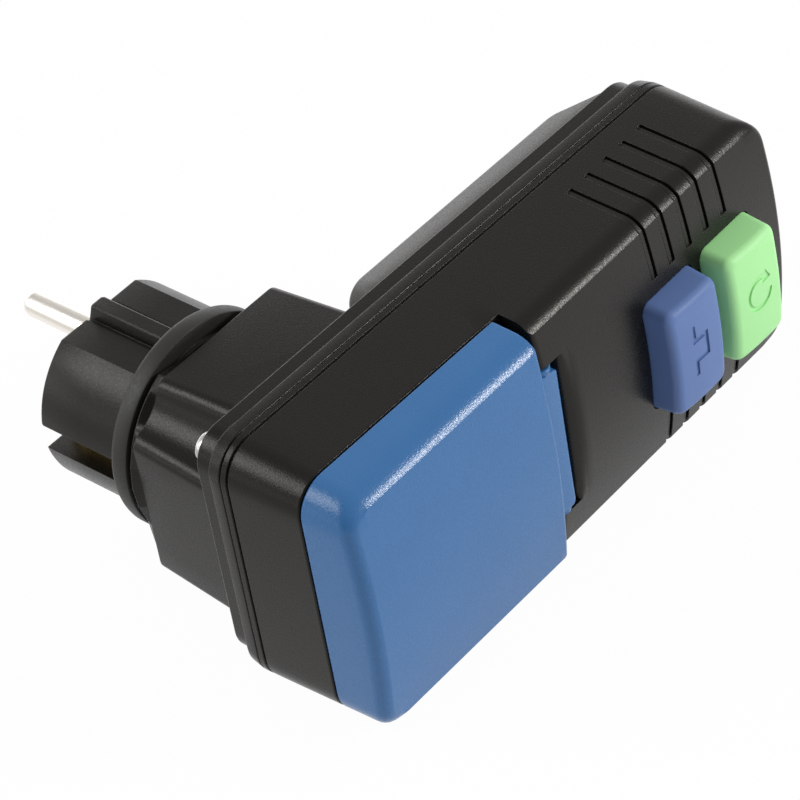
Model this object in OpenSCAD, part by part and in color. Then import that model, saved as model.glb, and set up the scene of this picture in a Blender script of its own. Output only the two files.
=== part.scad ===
// Plug-in residual-current adapter with a hinged outlet lid, lying on its long side.
// Depth values are measured from the wall plane towards the front of the adapter.
// The finished part has +X along its length, +Y the way the pins point and +Z up.

/* [Housing] */
// Length of the housing at the parting line
body_l = 120.7; // [120:0.1:124]
// Width of the housing at the parting line
body_w = 53.6; // [53:0.1:56]
// Corner radius of the housing
corner_r = 7; // [6:0.5:8]
// Wall thickness of both half shells
wall = 2.2; // [1.8:0.1:2.4]
// Taper of the sides, in millimetres per millimetre of depth
side_draft = 0.038; // [0:0.002:0.05]
// Lid end of the housing to the plug axis
plug_x = 25.9; // [25.6:0.1:26.6]
// Depth of the rear face of the rear cover
cover_d = 28; // [27.5:0.1:28.5]
// Height of the stepped rear rim
rim_h = 4; // [3:0.5:5]
// How far the stepped rim runs in at its rear edge
rim_in = 1.8; // [1.4:0.1:2]
// Depth of the parting line between the two half shells
part_d = 35; // [34.5:0.1:35.5]
// Depth of the seam between lid and front shell
seam_d = 52.2; // [52:0.1:53]
// Depth of the front face on its centre line, beside the lid
face_d = 62.4; // [62:0.1:63]
// Fall of the front face towards the button end, in degrees
face_fall = 2.5; // [1.5:0.1:3]
// Crown radius of the front face
face_crown = 113; // [105:1:180]
// Step that closes the lid half, from the plug axis
step_x = 27.2; // [27:0.1:27.6]

/* [Plug] */
// Pin diameter
pin_dia = 4.8; // [4.7:0.1:5]
// Free length of a pin
pin_l = 19; // [18:0.5:20]
// Distance between the pin axes
pin_gap = 19; // [18.8:0.1:19.2]
// Diameter of the plug body
plug_dia = 37; // [36.6:0.1:37.4]
// Length of the plug body in front of the wall plane
plug_l = 18.5; // [17:0.5:20]
// Distance of the guide flats from the plug axis
flat_off = 15.9; // [15.5:0.1:16.2]
// Width of the guide ribs
rib_w = 3.8; // [3:0.2:4.4]
// Height of the guide ribs over the flats
rib_h = 2; // [1:0.1:2.2]
// Width of the earth slots
slot_w = 5.2; // [5:0.1:6]
// Outer diameter of the flange seal ring
ring_dia = 41.2; // [40:0.2:42]
// Thickness of the flange seal ring
ring_t = 4.1; // [3.5:0.1:4.2]
// Length of the square pedestal along the body
pedestal_l = 39.2; // [39:0.1:40]
// Width of the square pedestal
pedestal_w = 37.3; // [37:0.1:38]
// Depth at which the pedestal reaches its full width
pedestal_d = 6.7; // [6.5:0.1:7]
// Taper of the pedestal walls
pedestal_draft = 0.056; // [0:0.002:0.06]

/* [Rear bulge] */
// Depth of the bulge that holds the electronics
bulge_d = 21.5; // [20:0.5:23]
// Distance of the bulge sides from the rim
bulge_in = 3.6; // [3:0.1:4]
// Length of the ramp at the far end of the bulge
bulge_ramp = 11; // [9:0.5:12]

/* [Screws] */
// Screw axis to the rear edge of the rim
screw_in = 5; // [4.8:0.1:5.2]
// Screw shank diameter
screw_dia = 3; // [2.5:0.1:3.2]
// Screw head diameter
head_dia = 5.8; // [5:0.1:6]
// Screw head height
head_h = 2.4; // [2:0.1:2.6]
// Radius of the flute that leads to a pedestal screw
flute_r = 8.5; // [8:0.1:8.8]

/* [Lid] */
// Height of the lid face over the seam plane
lid_h = 12.5; // [12.2:0.1:13.3]
// Crown radius of the lid face
lid_crown = 150; // [140:1:250]
// Rounding of the lid edges
lid_round = 4.8; // [4:0.1:5]
// Gap between the lid and the step
lid_gap = 1.8; // [1.7:0.1:2]
// Hinge axis from the step
hinge_off = 1.1; // [0.9:0.1:1.3]
// Depth of the hinge axis
hinge_d = 58.4; // [58.2:0.1:58.6]
// Radius of the hinge barrel
barrel_r = 3.7; // [3.5:0.1:3.8]
// Length of the hinge barrel
barrel_l = 33; // [30:0.5:34]
// Hinge pin diameter
hinge_pin_dia = 2.5; // [2.2:0.1:2.6]
// Radius of the trough round the barrel
trough_r = 7.5; // [7.3:0.1:7.8]

/* [Buttons] */
// Length of a button along the body
button_l = 15; // [14.4:0.1:15.2]
// Width of a button
button_w = 23.6; // [22:0.2:24]
// Corner radius of a button
button_r = 3; // [2.5:0.1:4]
// Depth of the button tops
button_d = 66.4; // [66:0.1:67]
// Step to the near edge of the test button
test_off = 26.7; // [26.4:0.1:27]
// Gap between the two buttons
button_gap = 2.4; // [2:0.1:2.8]
// Travel of a button
button_travel = 2.2; // [1.8:0.1:2.3]

/* [Socket] */
// Diameter of the socket well
well_dia = 39; // [38.6:0.1:39.2]
// Well floor over the floor of the rear cover
well_rise = 7.3; // [7:0.1:7.5]
// Height of the well flange over the seam plane
flange_h = 2.8; // [2.6:0.1:3]

/* [Vent grooves] */
// Number of vent grooves on each side
vent_count = 5; // [3:1:5]
// Distance between neighbouring vent grooves
vent_pitch = 5.1; // [4.5:0.1:5.2]
// Width of a vent groove
vent_w = 1.4; // [0.8:0.1:1.4]
// Depth of a vent groove
vent_depth = 0.7; // [0.5:0.1:1.2]
// Step to the first vent groove
vent_off = 31.5; // [31:0.1:33]
// Depth at which the vent grooves start on the side
vent_start_d = 42.5; // [40:0.5:44]
// Distance of the groove ends from the centre line
vent_end_z = 15; // [14.5:0.5:18]

/* [Hidden] */
$fn = 64;

// Fits
meet = 0.05;
fit = 0.1;
run = 0.06;
free = 0.3;
past = 1;
slice = 0.01;
strip = 0.8;

// Housing
half_w = body_w / 2;
near_x = -plug_x;
far_x = body_l - plug_x;
floor_d = cover_d + wall;
rim_wall = wall + rim_in;
rim_mid_in = 0.5;
front_w = half_w - side_draft * (face_d - part_d);
large_fn = 160;
small_corner = 1.5;
seal_w = 1.4;
seal_h = 1.2;
seal_in = 1.3;

// Plug
pin_r = pin_dia / 2;
pin_z = pin_gap / 2;
pin_tip = 1.2;
pin_tip_mid = 0.4;
pin_tip_flat = 1.4;
pin_tip_shoulder = 0.5;
shank_step = 0.3;
shank_r = pin_r + shank_step;
collar_step = 0.8;
collar_l = 1.4;
plug_r = plug_dia / 2;
shoulder_step = 2.5;
neck_step = 4.5;
shoulder_r = plug_r - shoulder_step;
neck_r = plug_r - neck_step;
ring_gap = 0.9;
ring_lip = 1.2;
ring_edge = 1;
ring_edge_mid = 0.3;
ring_seat_d = ring_t + ring_gap;
pedestal_chamfer = 1.6;
pedestal_wall_d = pedestal_d + wall;
nut_h = 3;
nut_wall = 2.5;
nut_r = neck_r + nut_wall;
neck_end_d = pedestal_wall_d + nut_h;
pin_tail = 2.6;
pin_end_d = neck_end_d + pin_tail;
slot_depth = 5.9;
slot_floor = plug_r - slot_depth;
strap_play = 0.4;
strap_w = slot_w - 2 * strap_play;
strap_low = 4.4;
strap_crest = plug_r - strap_low;
strap_tail = 1.5;
strap_back_d = neck_end_d + strap_tail;
strap_end = 0.5;
strap_ramp = 3.5;

// Bulge
bulge_near_gap = 3;
bulge_slope = 1.2;
bulge_corner = 4;
bulge_end_in = 3;
bulge_w = half_w - rim_in - bulge_in;
bulge_floor_d = bulge_d + wall;

// Screws
boss_r = 4;
screw_len = 20;
screw_end_in = 0.5;
far_screw_in = 3.5;
cross_l = 0.6;
screw_z = half_w - rim_in - screw_in;
screw_near_x = near_x + rim_in + screw_in - screw_end_in;
screw_far_x = far_x - rim_in - screw_in;
flute_spots = [[screw_near_x, screw_z], [-screw_near_x, -screw_z]];
bulge_spots = [for (side = [-1, 1]) [screw_far_x, side * (screw_z - far_screw_in)]];
screw_spots = concat(flute_spots, bulge_spots);

// Lid and hinge
lid_d = seam_d + lid_h;
hinge_x = step_x + hinge_off;
lid_far_x = step_x - lid_gap;
lid_crown_drop = 1.8;
lid_top_in = 14;
lid_edge_rise = 0.6;
lid_edge_cut = 4.2;
round_low = 0.45;
round_low_in = 0.16;
round_high = 0.13;
round_high_in = 0.5;
barrel_half = barrel_l / 2;
trough_half = barrel_half + free;
trough_wall = 2;
arm_low = 0.75;
arm_high = 0.8;
spring_bore_wall = 0.8;
spring_bore_r = barrel_r - spring_bore_wall;
spring_bore_l = 8;
spring_z0 = barrel_half - spring_bore_l;
spring_h = 6.4;
spring_turns = 5;
spring_play = 0.9;

// Socket
well_r = well_dia / 2;
well_wall = 2;
well_floor_t = 3;
well_hole_play = 0.6;
flange_lip = 1.2;
flange_d = seam_d + flange_h;
well_floor_d = floor_d + well_rise;
well_back_d = well_floor_d - well_floor_t;
well_side_in = 0.3;
well_side_w = 4.1;
contact_wall = 0.9;
contact_bore = pin_r + fit;
contact_r = contact_bore + contact_wall;
contact_l = 13.3;
clip_in = 4;
clip_x = well_r - clip_in;
clip_w = 6;
clip_yoke_gap = 2.2;
clip_yoke_d = well_back_d - clip_yoke_gap;
clip_bow = 0.8;
clip_flare = 2.6;
clip_short = 4;
clip_crest = 8;
link_half = 2;
seal_ring_play = 0.6;
seal_ring_r = well_r + seal_ring_play;
seal_ring_w = 2.2;
seal_ring_h = 2;
seal_front_d = flange_d + seal_ring_h;

// Buttons
button_edge = 2.2;
button_wall = 1.8;
button_top = 3;
button_flange = 1.2;
flange_t = 2;
stem_in = 0.5;
test_stem_r = 3.4;
test_spigot_r = 1.9;
test_spigot_l = 3;
reset_stem_r = 3;
layout_l = 67.6;
spread = (far_x - step_x) / layout_l;
button_half = spread * button_l / 2;
test_x = step_x + spread * test_off + button_half;
reset_x = test_x + 2 * button_half + spread * button_gap;
vent_first_x = step_x + spread * vent_off;

// Circuit board
board_off = 23.3;
board_rise = 3.3;
board_t = 1.6;
board_end = 4.5;
board_side = 1.8;
board_half = half_w - rim_wall - board_side;
board_d = floor_d + board_rise;
board_top_d = board_d + board_t;
board_x0 = step_x + spread * board_off;
board_x1 = min(reset_x + spread * board_end, screw_far_x - boss_r - free);
stand_r = 2.5;
stand_z = 16;
stand_in = 4;
test_stem_rise = 12;
test_stem_d = board_top_d + test_stem_rise;

// Pieces on the board
cap_off = 2;
cap_x = board_x0 + spread * cap_off;
cap_l = 6;
cap_h = 9;
cap_z = 14.2;
cap_w = 6.3;
disc_off = 11;
disc_x = board_x0 + spread * disc_off;
disc_r = 4;
disc_t = 3.5;
disc_z = 17.3;
resistor_off = 18;
resistor_x = board_x0 + spread * resistor_off;
resistor_r = 1.6;
resistor_l = 6;
resistor_z = 14.4;
chip_off = 1;
chip_x = board_x0 + spread * chip_off;
chip_l = 5;
chip_h = 1.8;
chip_half = 3.5;

// Busbars and contacts
bar_w = 3;
bar_in_gap = 0.2;
bar_out_gap = 0.9;
bar_rise = 0.9;
bar_step = 0.3;
in_bar_z = pin_z + bar_in_gap;
out_bar_z = pin_z - bar_out_gap;
in_bar_d = floor_d + bar_rise;
in_turn_in = 7.4;
out_turn_in = 4.5;
in_rise_gap = 1.5;
out_rise_in = 1;
out_core_gap = 1.2;
out_start = 3;
rail_rise = 1.3;
rail_d = board_top_d + rail_rise;
rail_end = 3;
rivet_r = 1.3;
rivet_h = 1;
contact_off = 5;
contact_spare = 0.2;
contact_x = reset_x - spread * contact_off;
contact_gap = button_travel + contact_spare;
bridge_half = 1.5;
moving_d = rail_d + strip + rivet_h + contact_gap;
carrier_d = moving_d + rivet_h + strip;
carrier_h = 3.8;
carrier_top_d = carrier_d + carrier_h;
carrier_l = 10;
carrier_tongue = 4;
carrier_half_l = spread * carrier_l / 2;
carrier_reach = spread * carrier_tongue;
carrier_half_w = 13;
guide_r = 1.5;
guide_z = 17;
guide_wall = 1.6;
guide_spare = 3;
guide_top_d = carrier_top_d + button_travel + guide_spare;

// Summation transformer
core_off = 17;
core_x = step_x + spread * core_off;
core_r = 14;
core_hole_r = 9.5;
core_l = 8;
core_t = spread * core_l;
core_d = floor_d + core_r;
winding_t = 1;
saddle_half = 8;
saddle_t = 4;
saddle_h = 9;

// Trip coil
coil_in = 3;
coil_wound_l = 13;
coil_l = spread * coil_wound_l;
coil_r = 3.6;
coil_z = -17;
coil_rise = 10;
coil_d = board_top_d + coil_rise;
coil_x0 = board_x0 + spread * coil_in;
frame_t = 1.2;
frame_play = 0.3;
frame_reach = coil_r + frame_play;
plunger_r = 1.5;
plunger_in = 3;
plunger_spare = 0.5;
plunger_travel = 1.5;
plunger_end_x = contact_x - carrier_half_l - plunger_travel - plunger_spare;

// Springs
wire = 0.6;
lid_wire = 0.7;
end_room = 0.6;
rings_per_turn = 16;
wire_sides = 6;
reset_turns = 4;
reset_play = 0.8;
test_turns = 7;
test_coil_r = 2.6;

mid_x = (near_x + far_x) / 2;
mid_y = (plug_l + pin_l - button_d) / 2;

// Moves a piece from the plug axis to the finished frame
module place()
    translate([-mid_x, -mid_y, half_w])
        children();

// Extrudes a lengthwise outline between two depths
module slab(d0, d1)
    translate([0, -d0, 0])
        rotate([90, 0, 0])
            linear_extrude(d1 - d0)
                children();

// Round post between two depths
module post(x, z, d0, d1, r)
    translate([x, -d0, z])
        rotate([90, 0, 0])
            cylinder(r = r, h = d1 - d0);

// Rectangular block between two depths
module block(x0, x1, d0, d1, z0, z1)
    translate([x0, -d1, z0])
        cube([x1 - x0, d1 - d0, z1 - z0]);

// The same shape on both sides of the plug axis along the length
module both_ends()
    for (side = [0, 1])
        mirror([side, 0, 0])
            children();

// Rounded rectangle from x0 to x1 with half width w
module outline(x0, x1, w, r) {
    translate([x0, r - w])
        square([x1 - x0, 2 * (w - r)]);
    translate([x0 + r, -w])
        square([x1 - x0 - 2 * r, 2 * w]);
    for (x = [x0 + r, x1 - r], z = [r - w, w - r])
        translate([x, z])
            circle(r);
}

// Housing outline run in by an inset
module body_outline(inset)
    outline(near_x + inset, far_x - inset, half_w - inset, max(corner_r - inset, small_corner));

// Thin slice of the housing outline at one depth
module body_slice(d, inset)
    slab(d, d + slice)
        body_outline(inset);

// Inset that the side taper gives at one depth in front of the parting line
function taper(d) = side_draft * (d - part_d);

// Tapered housing block from one depth to past the front face
module tapered_body(inset, d0)
    hull() {
        body_slice(d0, inset + taper(d0));
        body_slice(button_d, inset + taper(button_d));
    }

// Everything behind a crowned face that falls towards the button end
module behind_face(drop)
    translate([step_x, -(face_d - drop), 0])
        rotate([0, 0, face_fall])
            translate([-body_l, face_crown, 0])
                rotate([0, 90, 0])
                    cylinder(r = face_crown, h = 2 * body_l, $fn = large_fn);

// Everything beyond one place along the length
module beyond(x)
    block(x, far_x + past, -past, button_d + past, -half_w - past, half_w + past);

// Room in front of one depth on the lid half
module lid_room(x, d0)
    block(near_x - past, x, d0, button_d + past, -half_w - past, half_w + past);

// Front shell as one block, run in by an inset
module shell_block(inset, d0)
    difference() {
        intersection() {
            tapered_body(inset, d0);
            behind_face(inset);
        }
        lid_room(step_x + inset, seam_d - inset);
    }

// Round bar along Z on the hinge axis
module hinge_bar(r, z0, z1)
    translate([hinge_x, -hinge_d, z0])
        cylinder(r = r, h = z1 - z0);

// One vent groove that runs over the edge from the side to the front face
module vent_groove(x) {
    block(x, x + vent_w, vent_start_d, button_d, front_w - vent_depth, half_w + past);
    difference() {
        block(x, x + vent_w, vent_start_d, button_d, vent_end_z, half_w + past);
        behind_face(vent_depth);
    }
}

// Both rows of vent grooves
module vent_grooves()
    for (side = [0, 1])
        mirror([0, 0, side])
            for (i = [0:vent_count - 1])
                vent_groove(vent_first_x + i * spread * vent_pitch);

// Outline of a button grown by a margin
module button_outline(x, margin)
    outline(x - button_half - margin, x + button_half + margin, button_w / 2 + margin,
        max(button_r + margin, free));

module front_shell()
    color("#3a3936") place()
        difference() {
            union() {
                difference() {
                    shell_block(0, part_d);
                    shell_block(wall, part_d - past);
                }
                intersection() {
                    union() {
                        for (s = screw_spots)
                            post(s[0], s[1], part_d, button_d, boss_r);
                        hinge_bar(trough_r + trough_wall, -trough_half - trough_wall, trough_half + trough_wall);
                    }
                    shell_block(0, part_d);
                }
            }
            hinge_bar(trough_r, -trough_half, trough_half);
            hinge_bar(hinge_pin_dia / 2, -trough_half - trough_wall, trough_half + trough_wall);
            for (s = screw_spots)
                post(s[0], s[1], part_d - past, cover_d + screw_len + past, screw_dia / 2 + meet);
            post(0, 0, part_d, button_d, well_r + well_wall + fit);
            for (x = [test_x, reset_x])
                slab(part_d, button_d)
                    button_outline(x, free);
            vent_grooves();
        }

// Pedestal of the rear cover, tapered, with a chamfered rear edge
module pedestal_slice(d, grow)
    slab(d, d + slice)
        outline(-pedestal_l / 2 - grow, pedestal_l / 2 + grow, pedestal_w / 2 + grow, small_corner);

module pedestal()
    hull() {
        pedestal_slice(ring_seat_d, -pedestal_chamfer);
        pedestal_slice(pedestal_d, 0);
        pedestal_slice(floor_d - slice, pedestal_draft * (floor_d - pedestal_d));
    }

// Bulge behind the electronics with a ramp at the far end
module bulge() {
    near = pedestal_l / 2 + bulge_near_gap;
    far = far_x - rim_in - bulge_end_in;
    hull() {
        slab(bulge_d, bulge_d + slice)
            outline(near + bulge_near_gap, far - bulge_ramp, bulge_w, bulge_corner);
        slab(floor_d - slice, floor_d)
            outline(near, far, bulge_w + bulge_slope, bulge_corner);
    }
}

// Stands for the circuit board and the saddle for the transformer
module inner_stands() {
    for (x = [board_x0 + stand_in, contact_x], z = [-stand_z, stand_z])
        post(x, z, bulge_floor_d - meet, board_d, stand_r);
    difference() {
        block(core_x - saddle_t / 2, core_x + saddle_t / 2, bulge_floor_d - meet, bulge_floor_d + saddle_h,
            -saddle_half, saddle_half);
        core_disc(core_r, core_t);
    }
}

module rear_cover()
    color("#403f3c") place() {
        difference() {
            union() {
                slab(cover_d, cover_d + rim_h + slice)
                    body_outline(rim_in);
                hull() {
                    body_slice(cover_d + rim_h, rim_mid_in);
                    body_slice(part_d - slice, 0);
                }
                difference() {
                    union() {
                        pedestal();
                        bulge();
                    }
                    for (s = flute_spots)
                        post(s[0], s[1], 0, cover_d, flute_r);
                }
                post(0, 0, ring_seat_d, pedestal_d, ring_dia / 2);
            }
            difference() {
                slab(floor_d, part_d + past)
                    body_outline(rim_wall);
                for (s = screw_spots)
                    post(s[0], s[1], cover_d, part_d, boss_r);
            }
            difference() {
                slab(pedestal_wall_d, floor_d + past)
                    outline(wall - pedestal_l / 2, pedestal_l / 2 - wall, pedestal_w / 2 - wall, small_corner);
                for (s = flute_spots)
                    post(s[0], s[1], 0, floor_d, flute_r + wall);
            }
            slab(bulge_floor_d, floor_d + past)
                outline(step_x + wall, far_x - rim_in - bulge_end_in - bulge_ramp - wall, bulge_w - wall,
                    bulge_corner);
            for (s = bulge_spots)
                post(s[0], s[1], bulge_d - past, cover_d, head_dia / 2 + past);
            for (s = screw_spots)
                post(s[0], s[1], cover_d - past, part_d + past, screw_dia / 2 + meet);
            post(0, 0, 0, pedestal_wall_d + past, neck_r + fit);
            seal_cord(part_d - seal_h, part_d + past);
        }
        inner_stands();
    }

// Seal cord in the parting line
module seal_cord(d0, d1)
    slab(d0, d1)
        difference() {
            body_outline(seal_in);
            body_outline(seal_in + seal_w);
        }

module housing_seal()
    color("#1c1c1c") place()
        seal_cord(part_d - seal_h, part_d);

module cover_screws()
    color("#d8d8d4") place()
        for (s = screw_spots)
            difference() {
                union() {
                    post(s[0], s[1], cover_d - head_h, cover_d, head_dia / 2);
                    post(s[0], s[1], cover_d, cover_d + screw_len, screw_dia / 2);
                }
                for (a = [0, 90])
                    translate([s[0], -(cover_d - head_h), s[1]])
                        rotate([0, a, 0])
                            cube([head_dia * cross_l, head_h, strip], center = true);
            }

// Cross-section of the plug body grown by a margin
module plug_section(margin) {
    intersection() {
        circle(plug_r + margin);
        square([2 * (plug_r + margin), 2 * (flat_off + margin)], center = true);
    }
    square([rib_w + 2 * margin, 2 * (flat_off + rib_h + margin)], center = true);
}

module plug_body()
    color("#3d3c39") place()
        difference() {
            union() {
                slab(-plug_l, 0)
                    plug_section(0);
                post(0, 0, 0, ring_seat_d, shoulder_r);
                post(0, 0, ring_seat_d, neck_end_d, neck_r);
            }
            both_ends()
                block(slot_floor, plug_r + past, -plug_l - past, neck_end_d + past, -slot_w / 2, slot_w / 2);
            for (z = [-pin_z, pin_z])
                post(0, z, -plug_l - past, pin_end_d, shank_r + meet);
        }

// One plug pin with a rounded tip, a thicker shank in the plug and an inner collar
module plug_pin(z) {
    free_l = plug_l + pin_l;
    translate([0, free_l, z])
        rotate([90, 0, 0])
            rotate_extrude()
                polygon([
                    [0, 0],
                    [pin_r - pin_tip_flat, 0],
                    [pin_r - pin_tip_shoulder, pin_tip_mid],
                    [pin_r, pin_tip],
                    [pin_r, pin_l],
                    [shank_r, pin_l],
                    [shank_r, free_l + neck_end_d],
                    [pin_r + collar_step, free_l + neck_end_d],
                    [pin_r + collar_step, free_l + neck_end_d + collar_l],
                    [shank_r, free_l + neck_end_d + collar_l],
                    [shank_r, free_l + pin_end_d],
                    [0, free_l + pin_end_d]
                ]);
}

module plug_pin_line()
    color("#c9c6bf") place()
        plug_pin(pin_z);

module plug_pin_neutral()
    color("#c9c6bf") place()
        plug_pin(-pin_z);

// Bowed earth strip on one side, drawn in length and depth
module earth_strip()
    polygon([
        [slot_floor, plug_l - strap_end],
        [slot_floor + strip, plug_l - strap_end],
        [strap_crest, plug_l - strap_end - strap_ramp],
        [strap_crest, strap_end + strap_ramp + strip / 2],
        [slot_floor + strip, strap_end + strip / 2],
        [slot_floor + strip, -strap_back_d],
        [slot_floor, -strap_back_d],
        [slot_floor, strap_end],
        [strap_crest - strip, strap_end + strap_ramp],
        [strap_crest - strip, plug_l - strap_end - strap_ramp - strip / 2],
        [slot_floor, plug_l - strap_end - strip]
    ]);

module plug_earth_strap()
    color("#b9a878") place() {
        both_ends()
            translate([0, 0, -strap_w / 2])
                linear_extrude(strap_w)
                    earth_strip();
        block(-slot_floor - strip, slot_floor + strip, strap_back_d, strap_back_d + strip, -strap_w / 2, strap_w / 2);
    }

module plug_retaining_nut()
    color("#8c8a84") place()
        difference() {
            post(0, 0, pedestal_wall_d, neck_end_d, nut_r);
            post(0, 0, 0, part_d, neck_r + meet);
        }

module plug_seal_ring()
    color("#2c2b29") place()
        rotate([90, 0, 0])
            rotate_extrude($fn = large_fn)
                polygon([
                    [shoulder_r + meet, 0],
                    [ring_dia / 2 - ring_edge, 0],
                    [ring_dia / 2 - ring_edge_mid, ring_edge_mid],
                    [ring_dia / 2, ring_edge],
                    [ring_dia / 2, ring_t],
                    [shoulder_r + ring_lip, ring_t],
                    [shoulder_r + ring_lip, ring_seat_d],
                    [shoulder_r + meet, ring_seat_d]
                ]);

module socket_insert()
    color("#2f2e2c") place()
        difference() {
            union() {
                post(0, 0, well_back_d, flange_d, well_r + well_wall);
                post(0, 0, seam_d, flange_d, well_r + well_wall + flange_lip);
            }
            slab(well_floor_d, flange_d + past) {
                plug_section(well_r - plug_r);
                square([2 * (well_r - well_side_in), 2 * well_side_w], center = true);
            }
            for (z = [-pin_z, pin_z])
                post(0, z, well_back_d - past, well_floor_d + past, pin_r + well_hole_play);
            both_ends()
                block(clip_x - fit, clip_x + strip + fit, well_back_d - past, well_floor_d + past,
                    -clip_w / 2 - fit, clip_w / 2 + fit);
        }

// Spring sleeve that grips an inserted pin
module socket_contact(z)
    difference() {
        post(0, z, well_back_d - contact_l, well_back_d, contact_r);
        post(0, z, well_back_d - contact_l - past, well_back_d + past, contact_bore);
    }

module socket_contact_line()
    color("#c8a550") place()
        socket_contact(pin_z);

module socket_contact_neutral()
    color("#c8a550") place()
        socket_contact(-pin_z);

// Yoke behind the well floor and two sprung arms in the well
module socket_earth_clip() {
    rise_d = flange_d - clip_short;
    crest_d = well_floor_d + clip_crest;
    color("#c0b080") place() {
        block(-clip_x - strip, clip_x + strip, clip_yoke_d, clip_yoke_d + strip, -clip_w / 2, clip_w / 2);
        both_ends()
            translate([0, 0, -clip_w / 2])
                linear_extrude(clip_w)
                    polygon([
                        [clip_x, -clip_yoke_d],
                        [clip_x + strip, -clip_yoke_d],
                        [clip_x + strip, -well_floor_d],
                        [clip_x + strip - clip_bow, -crest_d],
                        [clip_x + clip_flare, -rise_d],
                        [clip_x + clip_flare - strip, -rise_d],
                        [clip_x - clip_bow, -crest_d],
                        [clip_x, -well_floor_d]
                    ]);
    }
}

module earth_link()
    color("#b9a878") place()
        block(-link_half, link_half, strap_back_d + strip, clip_yoke_d, -link_half, link_half);

// Flat strip drawn as a run of straight legs in length and depth
module bar_run(points, z0)
    translate([0, 0, z0])
        linear_extrude(bar_w)
            for (i = [0:len(points) - 2]) {
                a = points[i];
                b = points[i + 1];
                translate([min(a[0], b[0]), -max(a[1], b[1]) - strip])
                    square([abs(a[0] - b[0]) + strip, abs(a[1] - b[1]) + strip]);
            }

// Supply strip from a pin to its rail
module in_bar() {
    turn_x = pedestal_l / 2 - wall - in_turn_in;
    rise_x = board_x0 - in_rise_gap;
    bar_run([
        [-pin_r, pin_end_d],
        [turn_x, pin_end_d],
        [turn_x, in_bar_d],
        [rise_x, in_bar_d],
        [rise_x, rail_d],
        [contact_x + rail_end, rail_d]
    ], in_bar_z);
}

// Load strip from a socket contact through the transformer to its rail
module out_bar() {
    turn_x = pedestal_l / 2 - wall - out_turn_in;
    rise_x = core_x - core_t / 2 - out_core_gap - strip;
    drop_x = board_x0 + out_rise_in;
    start_d = well_back_d - contact_l + out_start;
    difference() {
        bar_run([
            [0, start_d],
            [turn_x, start_d],
            [turn_x, in_bar_d + bar_step],
            [rise_x, in_bar_d + bar_step],
            [rise_x, core_d],
            [drop_x, core_d],
            [drop_x, rail_d],
            [contact_x + rail_end, rail_d]
        ], out_bar_z - bar_w);
        post(0, pin_z, 0, part_d, contact_r);
    }
}

module line_in_bar()
    color("#b87333") place()
        in_bar();

module neutral_in_bar()
    color("#b87333") place()
        mirror([0, 0, 1])
            in_bar();

module line_out_bar()
    color("#b87333") place()
        out_bar();

module neutral_out_bar()
    color("#b87333") place()
        mirror([0, 0, 1])
            out_bar();

// Middle of each of the four rails across the width
rail_spots = [for (side = [-1, 1], z = [in_bar_z + bar_w / 2, out_bar_z - bar_w / 2]) side * z];

module fixed_contacts()
    color("#d9d9d9") place()
        for (z = rail_spots)
            post(contact_x, z, rail_d + strip, rail_d + strip + rivet_h, rivet_r);

module circuit_board()
    color("#2f6b3a") place()
        difference() {
            block(board_x0, board_x1, board_d, board_top_d, -board_half, board_half);
            for (z = [-guide_z, guide_z])
                post(contact_x, z, board_d - past, board_top_d + past, guide_r + meet);
        }

// Capacitor, suppressor disc, resistor and control chip on the board
module board_components()
    color("#3a5f9a") place() {
        block(cap_x, cap_x + cap_l, board_top_d, board_top_d + cap_h, cap_z, cap_z + cap_w);
        translate([disc_x, -(board_top_d + disc_r), disc_z])
            rotate([0, 90, 0])
                cylinder(r = disc_r, h = disc_t);
        translate([resistor_x, -(board_top_d + resistor_r), resistor_z])
            cylinder(r = resistor_r, h = resistor_l);
        block(chip_x, chip_x + chip_l, board_top_d, board_top_d + chip_h, -chip_half, chip_half);
    }

// Disc on the transformer axis
module core_disc(r, t)
    translate([core_x - t / 2, -core_d, 0])
        rotate([0, 90, 0])
            cylinder(r = r, h = t);

// Ring on the transformer axis, run in by a margin
module core_ring(margin)
    difference() {
        core_disc(core_r - margin, core_t - 2 * margin);
        core_disc(core_hole_r + margin, core_t + past);
    }

module transformer_core()
    color("#5a5f66") place()
        core_ring(winding_t);

module transformer_winding()
    color("#b5651d") place()
        difference() {
            core_ring(0);
            core_ring(winding_t);
        }

// Round bar along X on the trip coil axis
module coil_bar(x0, x1, r)
    translate([x0, -coil_d, coil_z])
        rotate([0, 90, 0])
            cylinder(r = r, h = x1 - x0);

module trip_coil()
    color("#a8552a") place()
        difference() {
            coil_bar(coil_x0, coil_x0 + coil_l, coil_r);
            coil_bar(coil_x0 - past, coil_x0 + coil_l + past, plunger_r + run);
        }

// Bent steel frame that holds the coil over the board
module trip_frame() {
    top_d = coil_d + coil_r;
    color("#9a9a96") place()
        difference() {
            union() {
                for (x = [coil_x0 - frame_t, coil_x0 + coil_l])
                    block(x, x + frame_t, board_top_d, top_d + frame_t, coil_z - frame_reach, coil_z + frame_reach);
                block(coil_x0 - frame_t, coil_x0 + coil_l + frame_t, top_d, top_d + frame_t,
                    coil_z - frame_reach, coil_z + frame_reach);
            }
            coil_bar(coil_x0 - frame_t - past, coil_x0 + coil_l + frame_t + past, plunger_r + run);
        }
}

module trip_plunger()
    color("#c4c4c0") place()
        coil_bar(coil_x0 + plunger_in, plunger_end_x, plunger_r);

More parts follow.
